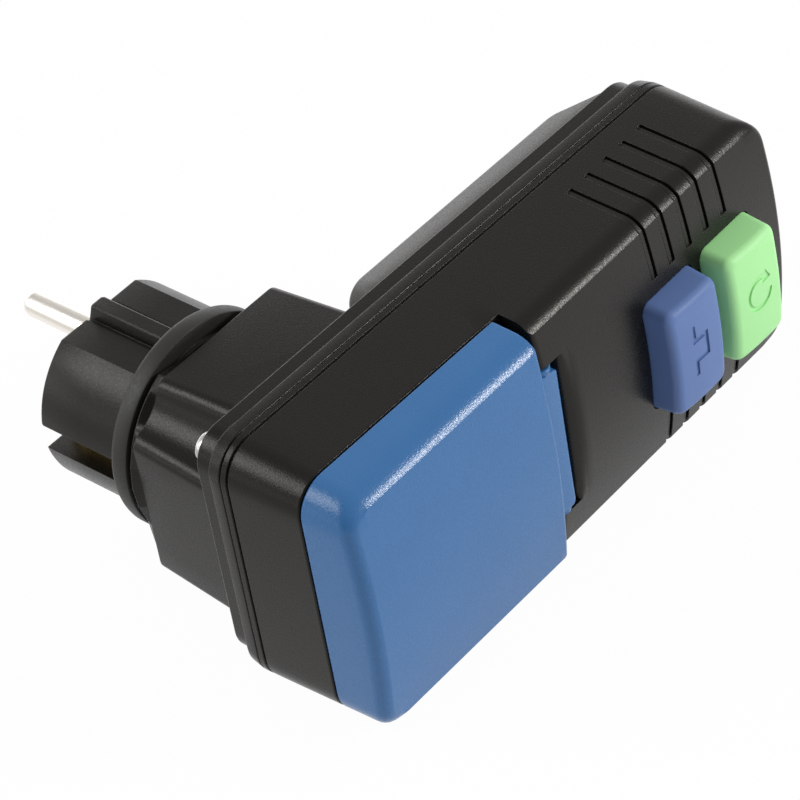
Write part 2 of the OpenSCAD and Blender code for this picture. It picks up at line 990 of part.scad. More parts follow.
module contact_carrier()
    color("#e0d8c0") place()
        difference() {
            union() {
                block(contact_x - carrier_half_l, contact_x + carrier_half_l + carrier_reach, carrier_d, carrier_top_d,
                    -carrier_half_w, carrier_half_w);
                for (z = [-guide_z, guide_z])
                    post(contact_x, z, carrier_d, carrier_top_d, guide_r + guide_wall);
                block(contact_x - bridge_half, contact_x + bridge_half, carrier_d, carrier_top_d, -guide_z, guide_z);
            }
            for (z = [-guide_z, guide_z])
                post(contact_x, z, carrier_d - past, carrier_top_d + past, guide_r + run);
        }

// Bridge that joins a supply rail to its load rail
module contact_bridge() {
    block(contact_x - bridge_half, contact_x + bridge_half, carrier_d - strip, carrier_d,
        out_bar_z - bar_w, in_bar_z + bar_w);
    for (z = [in_bar_z + bar_w / 2, out_bar_z - bar_w / 2])
        post(contact_x, z, moving_d, moving_d + rivet_h, rivet_r);
}

module moving_contacts()
    color("#c8a550") place()
        for (side = [0, 1])
            mirror([0, 0, side])
                contact_bridge();

module carrier_guide_posts()
    color("#c4c4c0") place()
        for (z = [-guide_z, guide_z])
            post(contact_x, z, board_d, guide_top_d, guide_r);

// One ring of spring wire round a path point
function wire_ring(p, tangent, r) =
    let(
        ahead = tangent / norm(tangent),
        side = cross([0, 0, 1], ahead) / norm(cross([0, 0, 1], ahead)),
        up = cross(ahead, side)
    )
    [for (k = [0:wire_sides - 1]) p + r * (cos(360 * k / wire_sides) * side + sin(360 * k / wire_sides) * up)];

// Point of a helix at a share of its length
function coil_point(t, turns, r, height) = [r * cos(360 * turns * t), r * sin(360 * turns * t), height * t];

// Helix with a straight end one wire diameter long at each end
function coil_path(turns, r, height, dia) =
    let(
        steps = turns * rings_per_turn,
        body = [for (i = [0:steps]) coil_point(i / steps, turns, r, height)],
        first = body[0] - body[1],
        last = body[steps] - body[steps - 1]
    )
    concat([body[0] + dia * first / norm(first)], body, [body[steps] + dia * last / norm(last)]);

// Least distance between points of the wire half a turn or more apart, less the wire
function coil_gap(path, dia) =
    min([
        for (i = [0:len(path) - 1 - rings_per_turn / 2])
            min([for (j = [i + rings_per_turn / 2:len(path) - 1]) norm(path[i] - path[j])])
    ]) - dia;

module coil(turns, r, height, dia) {
    path = coil_path(turns, r, height, dia);
    last = len(path) - 1;
    rings = [for (i = [0:last]) wire_ring(path[i], path[min(i + 1, last)] - path[max(i - 1, 0)], dia / 2)];
    points = [for (ring = rings, p = ring) p];
    walls = [
        for (i = [0:last - 1], k = [0:wire_sides - 1])
            let(a = i * wire_sides + k, b = i * wire_sides + (k + 1) % wire_sides)
            each [[a, a + wire_sides, b], [b, a + wire_sides, b + wire_sides]]
    ];
    ends = [
        for (k = [1:wire_sides - 2])
            each [[0, k, k + 1], [last * wire_sides, last * wire_sides + k + 1, last * wire_sides + k]]
    ];
    echo(least_gap = coil_gap(path, dia));
    polyhedron(points = points, faces = concat(walls, ends));
}

// Coil that stands between two depths
module standing_coil(x, z, d0, d1, turns, r)
    translate([x, -d0 - wire * end_room, z])
        rotate([90, 0, 0])
            coil(turns, r, d1 - d0 - 2 * wire * end_room, wire);

module reset_springs()
    color("#b8b8b4") place()
        for (z = [-guide_z, guide_z])
            standing_coil(contact_x, z, board_top_d, carrier_d, reset_turns, guide_r + reset_play);

module test_spring()
    color("#b8b8b4") place()
        standing_coil(test_x, 0, board_top_d, test_stem_d, test_turns, test_coil_r);

// Depth of the inside of the front face at the far corner of a button
function under_face(x) =
    face_d - wall - (x + button_half - step_x) * tan(face_fall)
    - pow(button_w / 2 + button_flange, 2) / (2 * face_crown);

// Hollow button with a retaining flange, open at the rear
module button_cap(x) {
    front_d = under_face(x) - free;
    skirt_d = front_d - flange_t;
    difference() {
        union() {
            hull() {
                slab(skirt_d, button_d - button_edge)
                    button_outline(x, 0);
                slab(button_d - button_edge, button_d)
                    button_outline(x, -button_edge);
            }
            slab(skirt_d, front_d)
                button_outline(x, button_flange);
        }
        slab(skirt_d - past, button_d - button_top)
            button_outline(x, -button_wall);
    }
}

module test_button()
    color("#6f86bd") place() {
        button_cap(test_x);
        post(test_x, 0, test_stem_d, button_d - button_top + stem_in, test_stem_r);
        post(test_x, 0, test_stem_d - test_spigot_l, test_stem_d + stem_in, test_spigot_r);
    }

module reset_button()
    color("#a0e59a") place() {
        button_cap(reset_x);
        post(reset_x, 0, carrier_top_d + free, button_d - button_top + stem_in, reset_stem_r);
    }

// Lid block run in by an inset, with rounded edges and a crowned face
module lid_block(inset, back_d) {
    top_d = lid_d - inset;
    edge_d = top_d - lid_crown_drop;
    side = inset + taper(edge_d);
    difference() {
        intersection() {
            hull() {
                body_slice(back_d, inset + taper(seam_d));
                body_slice(edge_d - lid_round, side);
                body_slice(edge_d - lid_round * round_low, side + lid_round * round_low_in);
                body_slice(edge_d - lid_round * round_high, side + lid_round * round_high_in);
                body_slice(edge_d + lid_edge_rise, side + lid_round);
                body_slice(top_d, side + lid_round + lid_top_in);
            }
            translate([near_x - past, -top_d + lid_crown, 0])
                rotate([0, 90, 0])
                    cylinder(r = lid_crown, h = body_l, $fn = large_fn);
        }
        beyond(lid_far_x - inset);
    }
}

module lid()
    color("#4a79b5") place()
        difference() {
            union() {
                difference() {
                    lid_block(0, seam_d + free);
                    lid_block(wall, seam_d - past);
                    translate([lid_far_x, -lid_d, 0])
                        rotate([0, 0, 45])
                            cube([lid_edge_cut, lid_edge_cut, 2 * body_w], center = true);
                    block(lid_far_x - wall - past, lid_far_x + past, seam_d, hinge_d - barrel_r * arm_low,
                        -barrel_half, barrel_half);
                }
                difference() {
                    post(0, 0, seal_front_d, lid_d - lid_crown_drop - past, seal_ring_r + seal_ring_w);
                    post(0, 0, seam_d, lid_d, seal_ring_r);
                }
                hinge_bar(barrel_r, -barrel_half, barrel_half);
                block(lid_far_x - wall / 2, hinge_x, hinge_d - barrel_r * arm_low, hinge_d + barrel_r * arm_high,
                    -barrel_half, barrel_half);
            }
            hinge_bar(hinge_pin_dia / 2 + run, -barrel_half - past, barrel_half + past);
            hinge_bar(spring_bore_r, spring_z0, barrel_half + past);
        }

module lid_seal()
    color("#1c1c1c") place()
        difference() {
            post(0, 0, flange_d + fit, seal_front_d, seal_ring_r + seal_ring_w);
            post(0, 0, flange_d - past, seal_front_d + past, seal_ring_r);
        }

module hinge_pin()
    color("#c4c4c0") place()
        hinge_bar(hinge_pin_dia / 2, -trough_half - trough_wall, trough_half + trough_wall);

module lid_spring()
    color("#b8b8b4") place()
        translate([hinge_x, -hinge_d, spring_z0 + lid_wire * end_room])
            coil(spring_turns, hinge_pin_dia / 2 + spring_play, spring_h, lid_wire);

rear_cover();
housing_seal();
front_shell();
cover_screws();
plug_body();
plug_pin_line();
plug_pin_neutral();
plug_earth_strap();
plug_retaining_nut();
plug_seal_ring();
socket_insert();
socket_contact_line();
socket_contact_neutral();
socket_earth_clip();
earth_link();
line_in_bar();
neutral_in_bar();
line_out_bar();
neutral_out_bar();
fixed_contacts();
circuit_board();
board_components();
transformer_core();
transformer_winding();
trip_coil();
trip_frame();
trip_plunger();
contact_carrier();
moving_contacts();
carrier_guide_posts();
reset_springs();
test_button();
test_spring();
reset_button();
lid();
lid_seal();
hinge_pin();
lid_spring();
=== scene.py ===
import math

import bmesh
import bpy
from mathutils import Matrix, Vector


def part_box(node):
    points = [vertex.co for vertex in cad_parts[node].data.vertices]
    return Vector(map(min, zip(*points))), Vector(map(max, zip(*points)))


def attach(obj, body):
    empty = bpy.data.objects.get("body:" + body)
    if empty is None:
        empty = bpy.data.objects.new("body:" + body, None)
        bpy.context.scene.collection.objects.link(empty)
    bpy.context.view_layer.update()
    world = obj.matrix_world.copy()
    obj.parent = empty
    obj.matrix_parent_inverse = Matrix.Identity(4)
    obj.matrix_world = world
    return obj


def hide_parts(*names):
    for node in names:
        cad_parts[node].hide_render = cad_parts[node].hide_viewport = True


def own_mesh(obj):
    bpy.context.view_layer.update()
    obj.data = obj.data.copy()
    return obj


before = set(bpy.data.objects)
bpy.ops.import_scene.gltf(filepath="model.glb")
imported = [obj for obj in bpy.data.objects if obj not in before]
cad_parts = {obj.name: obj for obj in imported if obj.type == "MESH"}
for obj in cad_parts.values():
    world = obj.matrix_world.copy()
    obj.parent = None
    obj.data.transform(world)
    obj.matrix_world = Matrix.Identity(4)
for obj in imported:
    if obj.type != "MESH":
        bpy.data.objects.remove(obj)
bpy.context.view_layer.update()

MM = 0.001

for spare in ("Cube", "Camera", "Light"):
    if spare in bpy.data.objects:
        bpy.data.objects.remove(bpy.data.objects[spare])

# The plug axis, the wall plane and the middle of the width, read from the frame.
NEAR_OVERHANG = 25.9
shell_low, shell_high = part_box("front_shell")
axis_x = shell_low.x + NEAR_OVERHANG * MM
wall_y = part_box("plug_seal_ring")[1].y
mid_z = (shell_low.z + shell_high.z) / 2


def at(x, depth, z):
    """Frame point in metres, from millimetres off the plug axis, the wall plane and the middle width."""
    return Vector((axis_x + x * MM, wall_y - depth * MM, mid_z + z * MM))


def span(node):
    """Length, depth and width limits of a CAD node in millimetres."""
    low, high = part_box(node)
    return ((low.x - axis_x) / MM, (high.x - axis_x) / MM, (wall_y - high.y) / MM,
            (wall_y - low.y) / MM, (low.z - mid_z) / MM, (high.z - mid_z) / MM)


# Housing sizes in millimetres.
near_x, far_x, part_d, _, _, half_w = span("front_shell")
CORNER = 7.0
WALL = 2.2
DRAFT = 0.038
COVER_D = 28.0
RIM_D = 32.0
RIM_IN = 1.8
RIM_MID_IN = 0.4
SEAM_D = 52.2
FACE_D = 61.4
FACE_FALL = 0.03
FACE_CROWN = 113.0
FACE_EDGE = 5.0
FACE_SWEEP = math.radians(55)
FAR_EDGE = 1.2
STEP_X = 27.2
STEP_EDGE = 1.0
HINGE_X = STEP_X + 1.1
HINGE_D = 58.4
TROUGH_R = 3.3
TROUGH_LIP = 3.4
TROUGH_HALF = 16.8
BARREL_R = 2.6
BARREL_HALF = 15.5

# Plug, ring and pedestal.
PIN_R = 2.4
PIN_Z = 9.5
PLUG_L = 18.95
PIN_L = 18.55
PLUG_R = 18.5
FLAT = 15.9
RIB_TOP = 17.9
RIB_HALF = 1.7
RIB_FOOT = 0.45
SLOT_HALF = 2.6
SLOT_FLOOR = 12.6
RING_R = 20.6
RING_T = 4.1
RING_SEAT = 5.0
SHOULDER_R = 16.0
NECK_R = 14.0
PEDESTAL_D = 6.65
PEDESTAL_L = 19.55
PEDESTAL_W = 18.65
PEDESTAL_DRAFT = 0.056
PEDESTAL_CORNER = 1.8
FLUTE_R = 8.5
SCREW_SPOTS = [(-19.6, 20.0), (19.6, -20.0), (88.0, -16.5), (88.0, 16.5)]
HEAD_R = 2.9
HEAD_H = 2.4
BULGE_D = 20.9

# Lid and buttons.
LID_FAR = 25.4
LID_D = 63.75
LID_FALL = 0.02
LID_CROWN = 185.0
LID_EDGE = 6.0
LID_SWEEP = math.radians(55)
LID_NEAR_EDGE = 2.75
LID_HINGE_EDGE = 0.8
END_SWEEP = math.radians(80)
TEST_X, RESET_X = 61.2, 78.1
BUTTON_L, BUTTON_W = 14.8, 24.2
BUTTON_D = 66.39
BUTTON_Z = -0.8
BUTTON_CORNER = 2.2
BUTTON_EDGE = 1.6
WELL_HOLE_R = 21.6


def inset_at(depth):
    """Run-in of the sides of the front shell and the lid at a depth."""
    return DRAFT * (depth - part_d)


def face_depth(x, z):
    """Crowned front face that falls towards the button end."""
    return FACE_D - (x - STEP_X) * FACE_FALL - z * z / (2 * FACE_CROWN)


def lid_depth(x, z):
    """Crowned face of the lid, which falls a little towards the hinge."""
    return LID_D - x * LID_FALL - z * z / (2 * LID_CROWN)


def put(name, data):
    """New object in the scene."""
    made = bpy.data.objects.new(name, data)
    bpy.context.scene.collection.objects.link(made)
    return made


class Skin:
    """Points in millimetres along length, depth and width, and the faces between them."""

    def __init__(self):
        self.points = []
        self.faces = []

    def ring(self, places):
        """Adds places and gives the numbers of their points."""
        first = len(self.points)
        self.points.extend(places)
        return list(range(first, len(self.points)))

    def bridge(self, low, high, closed=True):
        """Faces between two rings, or two open rows, of as many points."""
        for i in range(len(low) if closed else len(low) - 1):
            j = (i + 1) % len(low)
            self.faces.append((low[i], low[j], high[j], high[i]))

    def run(self, rings):
        """Faces from each ring to the next."""
        for low, high in zip(rings, rings[1:]):
            self.bridge(low, high)

    def stack(self, levels, joined=False):
        """Rings through levels of points, capped at both ends or joined end to end."""
        rings = [self.ring(places) for places in levels]
        self.run(rings)
        if joined:
            self.bridge(rings[-1], rings[0])
        else:
            self.faces += [tuple(rings[0]), tuple(rings[-1])]
        return self

    def piece(self, name):
        """Object of the skin, with its doubles merged and its faces turned outwards."""
        mesh = bpy.data.meshes.new(name)
        mesh.from_pydata([at(*p) for p in self.points], [], self.faces)
        shape = bmesh.new()
        shape.from_mesh(mesh)
        bmesh.ops.remove_doubles(shape, verts=shape.verts, dist=1e-7)
        bmesh.ops.recalc_face_normals(shape, faces=shape.faces)
        shape.to_mesh(mesh)
        shape.free()
        return put(name, mesh)


def settle(piece):
    """Turns a piece with modifiers into a plain mesh."""
    graph = bpy.context.evaluated_depsgraph_get()
    mesh = bpy.data.meshes.new_from_object(piece.evaluated_get(graph))
    piece.modifiers.clear()
    piece.data = mesh
    return piece


def carve(piece, *tools, how="DIFFERENCE"):
    """Cuts tools out of a piece, or joins them to it, and removes the tools."""
    for tool in tools:
        step = piece.modifiers.new("carve", "BOOLEAN")
        step.operation = how
        step.solver = "MANIFOLD"
        step.object = tool
        settle(piece)
        bpy.data.objects.remove(tool)
    return piece


def join(piece, *others):
    """Joins other pieces to a piece."""
    return carve(piece, *others, how="UNION")


def smooth(piece, angle):
    """Smooth shading that keeps edges sharper than an angle."""
    mesh = piece.data
    mesh.polygons.foreach_set("use_smooth", [True] * len(mesh.polygons))
    mesh.set_sharp_from_angle(angle=math.radians(angle))
    return piece


# Rounded rectangles with a fixed number of points, so that rings of any size can be bridged.
ARC = 10
END = 20


def arc(centre, radius, start, stop, count):
    """Points of an arc between two directions in radians."""
    turns = [start + (stop - start) * k / count for k in range(count + 1)]
    return [(centre[0] + radius * math.cos(t), centre[1] + radius * math.sin(t)) for t in turns]


def outline(x0, x1, half, near_r, far_r, stations=(), near_arc=ARC):
    """Points of a rounded rectangle: lower side, far end, upper side, near end."""
    lower = [(x0, -half)]
    if near_arc:
        lower = arc((x0 + near_r, near_r - half), near_r, math.pi, 1.5 * math.pi, near_arc)
    lower += [(x, -half) for x in stations]
    lower += arc((x1 - far_r, far_r - half), far_r, 1.5 * math.pi, 2 * math.pi, ARC)
    upper = [(x, -z) for x, z in reversed(lower)]
    far_run = [(lower[-1][0], lower[-1][1] * (1 - 2 * k / END)) for k in range(1, END)]
    near_run = [(lower[0][0], -lower[0][1] * (1 - 2 * k / END)) for k in range(1, END)]
    return lower + far_run + upper + near_run


def cap_rows(skin, ring, depth, count=None):
    """Rows of points across a ring from the lower side to the upper side, on a face of given depth."""
    size = (len(ring) - 2 * (END - 1)) // 2
    count = size if count is None else count
    rows = []
    for i in range(count):
        low = ring[i]
        high = ring[size + END - 1 + size - 1 - i]
        if i == 0:
            inner = list(reversed(ring[-(END - 1):]))
        elif i == size - 1:
            inner = ring[size:size + END - 1]
        else:
            a, b = skin.points[low], skin.points[high]
            inner = []
            for k in range(1, END):
                x = a[0] + (b[0] - a[0]) * k / END
                z = a[2] + (b[2] - a[2]) * k / END
                inner += skin.ring([(x, depth(x, z), z)])
        rows.append([low] + inner + [high])
    for a, b in zip(rows, rows[1:]):
        skin.bridge(a, b, closed=False)
    return rows


def evenly(x0, x1, count):
    """Places at even steps between two ends, without the ends."""
    return [x0 + (x1 - x0) * (k + 1) / (count + 1) for k in range(count)]


def flat(depth):
    """Depth rule of a level face."""
    return lambda x, z: depth


def loft(name, levels):
    """Closed block through rounded outlines; a level is an outline and a depth, or a depth rule."""
    skin = Skin()
    rules = [depth if callable(depth) else flat(depth) for _, depth in levels]
    rings = [skin.ring([(x, rule(x, z), z) for x, z in places]) for (places, _), rule in zip(levels, rules)]
    skin.run(rings)
    cap_rows(skin, rings[0], rules[0])
    cap_rows(skin, rings[-1], rules[-1])
    return skin.piece(name)


def lathe(name, centre, stops, along="d", sides=64, hollow=False):
    """Turned shape round an axis along depth or width; a stop is a place on the axis and a radius."""
    turns = [2 * math.pi * k / sides for k in range(sides)]
    levels = []
    for place, radius in stops:
        ring = [(centre[0] + radius * math.cos(t), centre[1] + radius * math.sin(t)) for t in turns]
        levels.append([(u, place, v) if along == "d" else (u, v, place) for u, v in ring])
    return Skin().stack(levels, joined=hollow).piece(name)


def prism(name, profile, widths):
    """Profile in length and depth drawn along the width."""
    return Skin().stack([[(x, d, z) for x, d in profile] for z in widths]).piece(name)


def slab(name, places, *depths):
    """Closed block of an outline in length and width between two depths."""
    return Skin().stack([[(x, d, z) for x, z in places] for d in depths]).piece(name)


# Node trees.
def node(tree, kind, links=None, **settings):
    """Adds a node, sets its properties, and gives each named input a value or a link."""
    made = tree.nodes.new(kind)
    for key, value in settings.items():
        setattr(made, key, value)
    for key, value in (links or {}).items():
        if isinstance(value, bpy.types.NodeSocket):
            tree.links.new(value, made.inputs[key])
        else:
            made.inputs[key].default_value = value
    return made


def linear(code):
    """Linear colour of an sRGB hex value."""
    parts = [int(code[i:i + 2], 16) / 255 for i in (1, 3, 5)]
    return tuple(p / 12.92 if p <= 0.04045 else ((p + 0.055) / 1.055) ** 2.4 for p in parts) + (1.0,)


def per_mm(size):
    """Texture scale that gives a pattern of a size in millimetres."""
    return 1 / (size * MM)


def new_material(name):
    """Material with an empty node tree."""
    made = bpy.data.materials.new(name)
    made.use_nodes = True
    made.node_tree.nodes.clear()
    return made, made.node_tree


def limits(low, high, at_low, at_high):
    """Settings of a map from one range to another."""
    return {"From Min": low, "From Max": high, "To Min": at_low, "To Max": at_high}


# Real spark-eroded grain and drawing lines are near 0.1 mm, too fine to show, so both are drawn coarser.
GRAIN = 0.34
GRAIN_RANGE = (0.3, 0.7)
DRAWN_LINE = 0.25
GLOSS_SWING = 0.07
SOFT_EDGE = 0.2
PLATING_CLOUD = 4.0
LINE_DEPTH = 0.02
LINE_RELIEF = 0.12
LINE_SHINE, LINE_DULL = 0.06, 0.08


def moulded(name, colour, shade, rough, grain=GRAIN, relief=0.5, cloud=9.0, ior=1.5, pit=0.06,
            sheen="#ffffff"):
    """Moulded plastic: spark-eroded grain, soft clouding of the tint, edges that catch the light."""
    made, tree = new_material(name)
    place = node(tree, "ShaderNodeTexCoord").outputs["Object"]
    clouds = node(tree, "ShaderNodeTexNoise", {"Vector": place, "Scale": per_mm(cloud), "Detail": 3.0})
    tint = node(tree, "ShaderNodeMix", {0: clouds.outputs["Fac"], 6: linear(colour), 7: linear(shade)},
                data_type="RGBA")
    sparks = node(tree, "ShaderNodeTexNoise", {
        "Vector": place, "Scale": per_mm(grain), "Detail": 2.0, "Roughness": 0.6})
    gloss = node(tree, "ShaderNodeMapRange", {
        "Value": sparks.outputs["Fac"], **limits(*GRAIN_RANGE, rough - GLOSS_SWING, rough + GLOSS_SWING)})
    rounded = node(tree, "ShaderNodeBevel", {"Radius": SOFT_EDGE * MM}, samples=4)
    bump = node(tree, "ShaderNodeBump", {
        "Height": sparks.outputs["Fac"], "Strength": relief, "Distance": pit * MM,
        "Normal": rounded.outputs["Normal"]})
    skin = node(tree, "ShaderNodeBsdfPrincipled", {
        "Base Color": tint.outputs[2], "Roughness": gloss.outputs["Result"], "IOR": ior,
        "Specular Tint": linear(sheen), "Normal": bump.outputs["Normal"]})
    node(tree, "ShaderNodeOutputMaterial", {"Surface": skin.outputs["BSDF"]})
    return made


def plated(name, colour, shade, rough, stretch=(1.0, 0.04, 1.0)):
    """Metal with fine lines drawn along one direction and a slightly cloudy plating."""
    made, tree = new_material(name)
    place = node(tree, "ShaderNodeTexCoord").outputs["Object"]
    drawn = node(tree, "ShaderNodeMapping", {"Vector": place, "Scale": stretch})
    lines = node(tree, "ShaderNodeTexNoise", {
        "Vector": drawn.outputs["Vector"], "Scale": per_mm(DRAWN_LINE), "Detail": 2.0})
    clouds = node(tree, "ShaderNodeTexNoise", {
        "Vector": place, "Scale": per_mm(PLATING_CLOUD), "Detail": 3.0})
    tint = node(tree, "ShaderNodeMix", {0: clouds.outputs["Fac"], 6: linear(colour), 7: linear(shade)},
                data_type="RGBA")
    gloss = node(tree, "ShaderNodeMapRange", {
        "Value": lines.outputs["Fac"], **limits(0.0, 1.0, rough - LINE_SHINE, rough + LINE_DULL)})
    bump = node(tree, "ShaderNodeBump", {
        "Height": lines.outputs["Fac"], "Strength": LINE_RELIEF, "Distance": LINE_DEPTH * MM})
    skin = node(tree, "ShaderNodeBsdfPrincipled", {
        "Base Color": tint.outputs[2], "Metallic": 1.0, "Roughness": gloss.outputs["Result"],
        "Normal": bump.outputs["Normal"]})
    node(tree, "ShaderNodeOutputMaterial", {"Surface": skin.outputs["BSDF"]})
    return made


# Housing: black ABS from a spark-eroded mould, a satin near-black that sparkles finely on rounded edges.
black_abs = moulded("moulded_black_abs", "#131210", "#100f0d", 0.3, relief=1.0, ior=1.35, pit=0.03,
                    sheen="#fffaf4")
# Plug: the same plastic from another mould, a shade greyer and a little duller.
plug_abs = moulded("moulded_black_plug_abs", "#151412", "#12110f", 0.33, relief=0.9, ior=1.37, pit=0.03,
                   sheen="#fffaf4")
# Lid: blue ABS, satin, with a bright grainy line where an edge turns to the light.
blue_abs = moulded("moulded_blue_abs", "#3870a9", "#356ba3", 0.24, relief=1.0, ior=1.45, pit=0.045)
# Test button: violet-blue polypropylene, duller than the lid.
violet_pp = moulded("moulded_violet_polypropylene", "#627db3", "#5e78ad", 0.5, relief=0.5, ior=1.43)
# Reset button: light green polypropylene with the same dull skin.
green_pp = moulded("moulded_green_polypropylene", "#b2f4a6", "#abeda0", 0.5, relief=0.5)
# Socket well: black polyamide, finer in grain than the housing and a shade greyer.
black_pa = moulded("moulded_black_polyamide", "#1f1e1d", "#191918", 0.36, relief=0.3)
# Switch carrier: cream polyamide, waxy.
cream_pa = moulded("moulded_cream_polyamide", "#ddd3b8", "#d3c8aa", 0.45, relief=0.25)
# Rubber ring and seals: dark grey, dull, with a dusty bloom.
rubber = moulded("moulded_grey_rubber", "#262522", "#201f1c", 0.5, grain=0.5, relief=0.25, ior=1.48)
# Pins: nickel-plated brass with lines from drawing along the pin.
nickel = plated("drawn_nickel_plated_brass", "#fbf6ee", "#f4eee5", 0.3)
# Screws and springs: bright zinc on steel, a cool and even shine.
zinc = plated("zinc_plated_steel", "#d3d3cf", "#c3c3bf", 0.28, stretch=(1.0, 1.0, 1.0))
# Contacts and earth strips: stamped brass, warm yellow with faint lines from rolling.
brass = plated("stamped_brass", "#cdb06a", "#bd9f58", 0.3, stretch=(0.05, 1.0, 1.0))
# Busbars: rolled copper that has darkened a little, with the same faint lines.
copper = plated("rolled_copper", "#c07a4e", "#a9663d", 0.34, stretch=(0.05, 1.0, 1.0))
# Windings: copper wire under clear enamel, a warm glossy brown.
enamel = plated("enamelled_copper_wire", "#a5602f", "#8f4f24", 0.3)
# Transformer core: bare iron strip under a thin oxide skin, dull grey.
iron = plated("wound_iron_core", "#6c7075", "#5d6166", 0.45, stretch=(0.05, 1.0, 1.0))
# Board pieces: blue epoxy dip, smooth with a soft gloss.
epoxy = moulded("dipped_blue_epoxy", "#3d629c", "#355791", 0.3, grain=0.8, relief=0.15)
# Circuit board: glass laminate under green solder mask, slightly mottled and half glossy.
board = moulded("solder_masked_laminate", "#2c6a3b", "#235a31", 0.35, grain=0.6, relief=0.3, cloud=2.5)


def ease(value):
    """Soft step from 0 to 1."""
    value = min(1.0, max(0.0, value))
    return value * value * (3 - 2 * value)


def roll(below, radius):
    """Run-in of a rounded edge at a distance below the face it meets."""
    left = max(0.0, radius - below)
    return radius - math.sqrt(radius * radius - left * left)


def edge_rings(skin, base, place, low, face, rounding, shares, steps):
    """Rings up the drafted sides from a level and round the edge, so that each point ends on the face.

    place moves a base point in by an inset at a distance below the face; rounding gives radius and sweep.
    """
    walls = []
    for i, (x, z) in enumerate(base):
        radius, sweep = rounding(x)
        rise = radius * math.sin(sweep)
        wall = face(x, z) - rise
        # The face falls away as the wall runs in, so the wall's height is found in a few rounds.
        for _ in range(5):
            wall = face(*place(i, inset_at(wall) + radius * (1 - math.cos(sweep)), 0.0)) - rise
        walls.append((wall, radius, sweep))
    rings = []
    for share in shares:
        placed = []
        for i, (wall, radius, sweep) in enumerate(walls):
            depth = low + (wall - low) * share
            x, z = place(i, inset_at(depth), math.inf)
            placed.append((x, depth, z))
        rings.append(skin.ring(placed))
    for k in range(1, steps + 1):
        placed = []
        for i, (wall, radius, sweep) in enumerate(walls):
            turn = sweep * (1 - (1 - k / steps) ** 2)
            below = radius * (math.sin(sweep) - math.sin(turn))
            x, z = place(i, inset_at(wall) + radius * (1 - math.cos(turn)), below)
            placed.append((x, wall + radius * math.sin(turn), z))
        rings.append(skin.ring(placed))
    skin.run(rings)
    return rings


SEAT_EDGE = [(0.35, 0.0), (0.1, 0.09), (0.0, 0.33)]
STEP_REACH = 8.0
STEP_STATIONS = [0.4, 0.8, 1.3, 1.9, 2.6, 3.5, 4.6, 5.8]
EDGE_STEPS = 12


def front_block(name, run_in, lower, edge, step_edge):
    """Block of the front shell: full outline up to the seam plane, then the button half up to the face."""
    x0, x1, half = near_x + run_in, far_x - run_in, half_w - run_in
    corner = CORNER - run_in
    step = STEP_X + run_in
    seat = SEAM_D - run_in
    before = evenly(x0 + CORNER + 1, step, 14)
    after = [step + reach for reach in STEP_STATIONS]
    after += evenly(step + STEP_STATIONS[-1], x1 - CORNER - 2, 34)
    stations = before + [step] + after
    skin = Skin()

    def level(depth, extra=0.0):
        inset = max(0.0, inset_at(depth)) + extra
        return outline(x0 + inset, x1 - inset, half - inset, corner - inset, corner - inset, stations)

    def seat_level(below, extra):
        plain, inner = level(seat - below), level(seat - below, extra)
        return [(q[0], seat - below, q[1]) if p[0] < step - 0.2 else (p[0], seat - below, p[1])
                for p, q in zip(plain, inner)]

    rings = [skin.ring([(x, depth, z) for x, z in level(depth, extra)]) for depth, extra in lower]
    rings += [skin.ring(seat_level(below, extra)) for below, extra in SEAT_EDGE]
    skin.run(rings)
    top = rings[-1]
    size = (len(top) - 2 * (END - 1)) // 2
    split = ARC + 1 + len(before)
    step_row = cap_rows(skin, top, flat(seat), split + 1)[-1]
    foot = top[split:size + END - 1 + size - split] + list(reversed(step_row[1:-1]))
    base = outline(step, x1, half, 0.0, corner, after, near_arc=0)

    def place(i, inset, below):
        x, z = outline(step, x1 - inset, half - inset, 0.0, max(corner - inset, 0.6), after, near_arc=0)[i]
        return x + roll(below, step_edge) * max(0.0, 1 - (x - step) / STEP_REACH), z

    def rounding(x):
        end = ease((x1 - x) / CORNER)
        return FAR_EDGE + (edge - FAR_EDGE) * end, END_SWEEP + (FACE_SWEEP - END_SWEEP) * end

    def face(x, z):
        return face_depth(x, z) - run_in

    upper = edge_rings(skin, base, place, seat, face, rounding, (0.3, 0.65, 1.0), EDGE_STEPS)
    skin.bridge(foot, upper[0])
    cap_rows(skin, upper[-1], face)
    cap_rows(skin, rings[0], flat(lower[0][0]))
    return skin.piece(name)


def button_places(x, margin):
    """Outline of a button's hole, wider than the button by a margin."""
    places = outline(x - BUTTON_L / 2 - margin, x + BUTTON_L / 2 + margin, BUTTON_W / 2 + margin,
                     BUTTON_CORNER + margin, BUTTON_CORNER + margin, evenly(x - 4, x + 4, 5))
    return [(px, pz + BUTTON_Z) for px, pz in places]


# Front shell: lip at the parting line, a fine groove round it, drafted sides and a crowned face.
LIP = [(part_d + 0.12, 0.18), (part_d + 0.28, 0.0), (36.32, 0.0), (36.4, 0.16), (36.5, 0.42), (36.74, 0.42),
       (36.86, 0.1), (36.98, 0.02), (40.0, 0.0), (46.0, 0.0)]
LINING_R, LINING_HALF = TROUGH_R + 5.4, TROUGH_HALF + 2
front_shell = front_block("front_shell_dressed", 0.0, LIP, FACE_EDGE, STEP_EDGE)
cavity = front_block("cavity", WALL, [(part_d - 2, 0.0), (40.0, 0.0)], edge=2.0, step_edge=0.6)
carve(cavity, lathe("lining", (HINGE_X, HINGE_D), [(-LINING_HALF, LINING_R), (LINING_HALF, LINING_R)],
                    along="z", sides=72))
carve(front_shell, cavity)

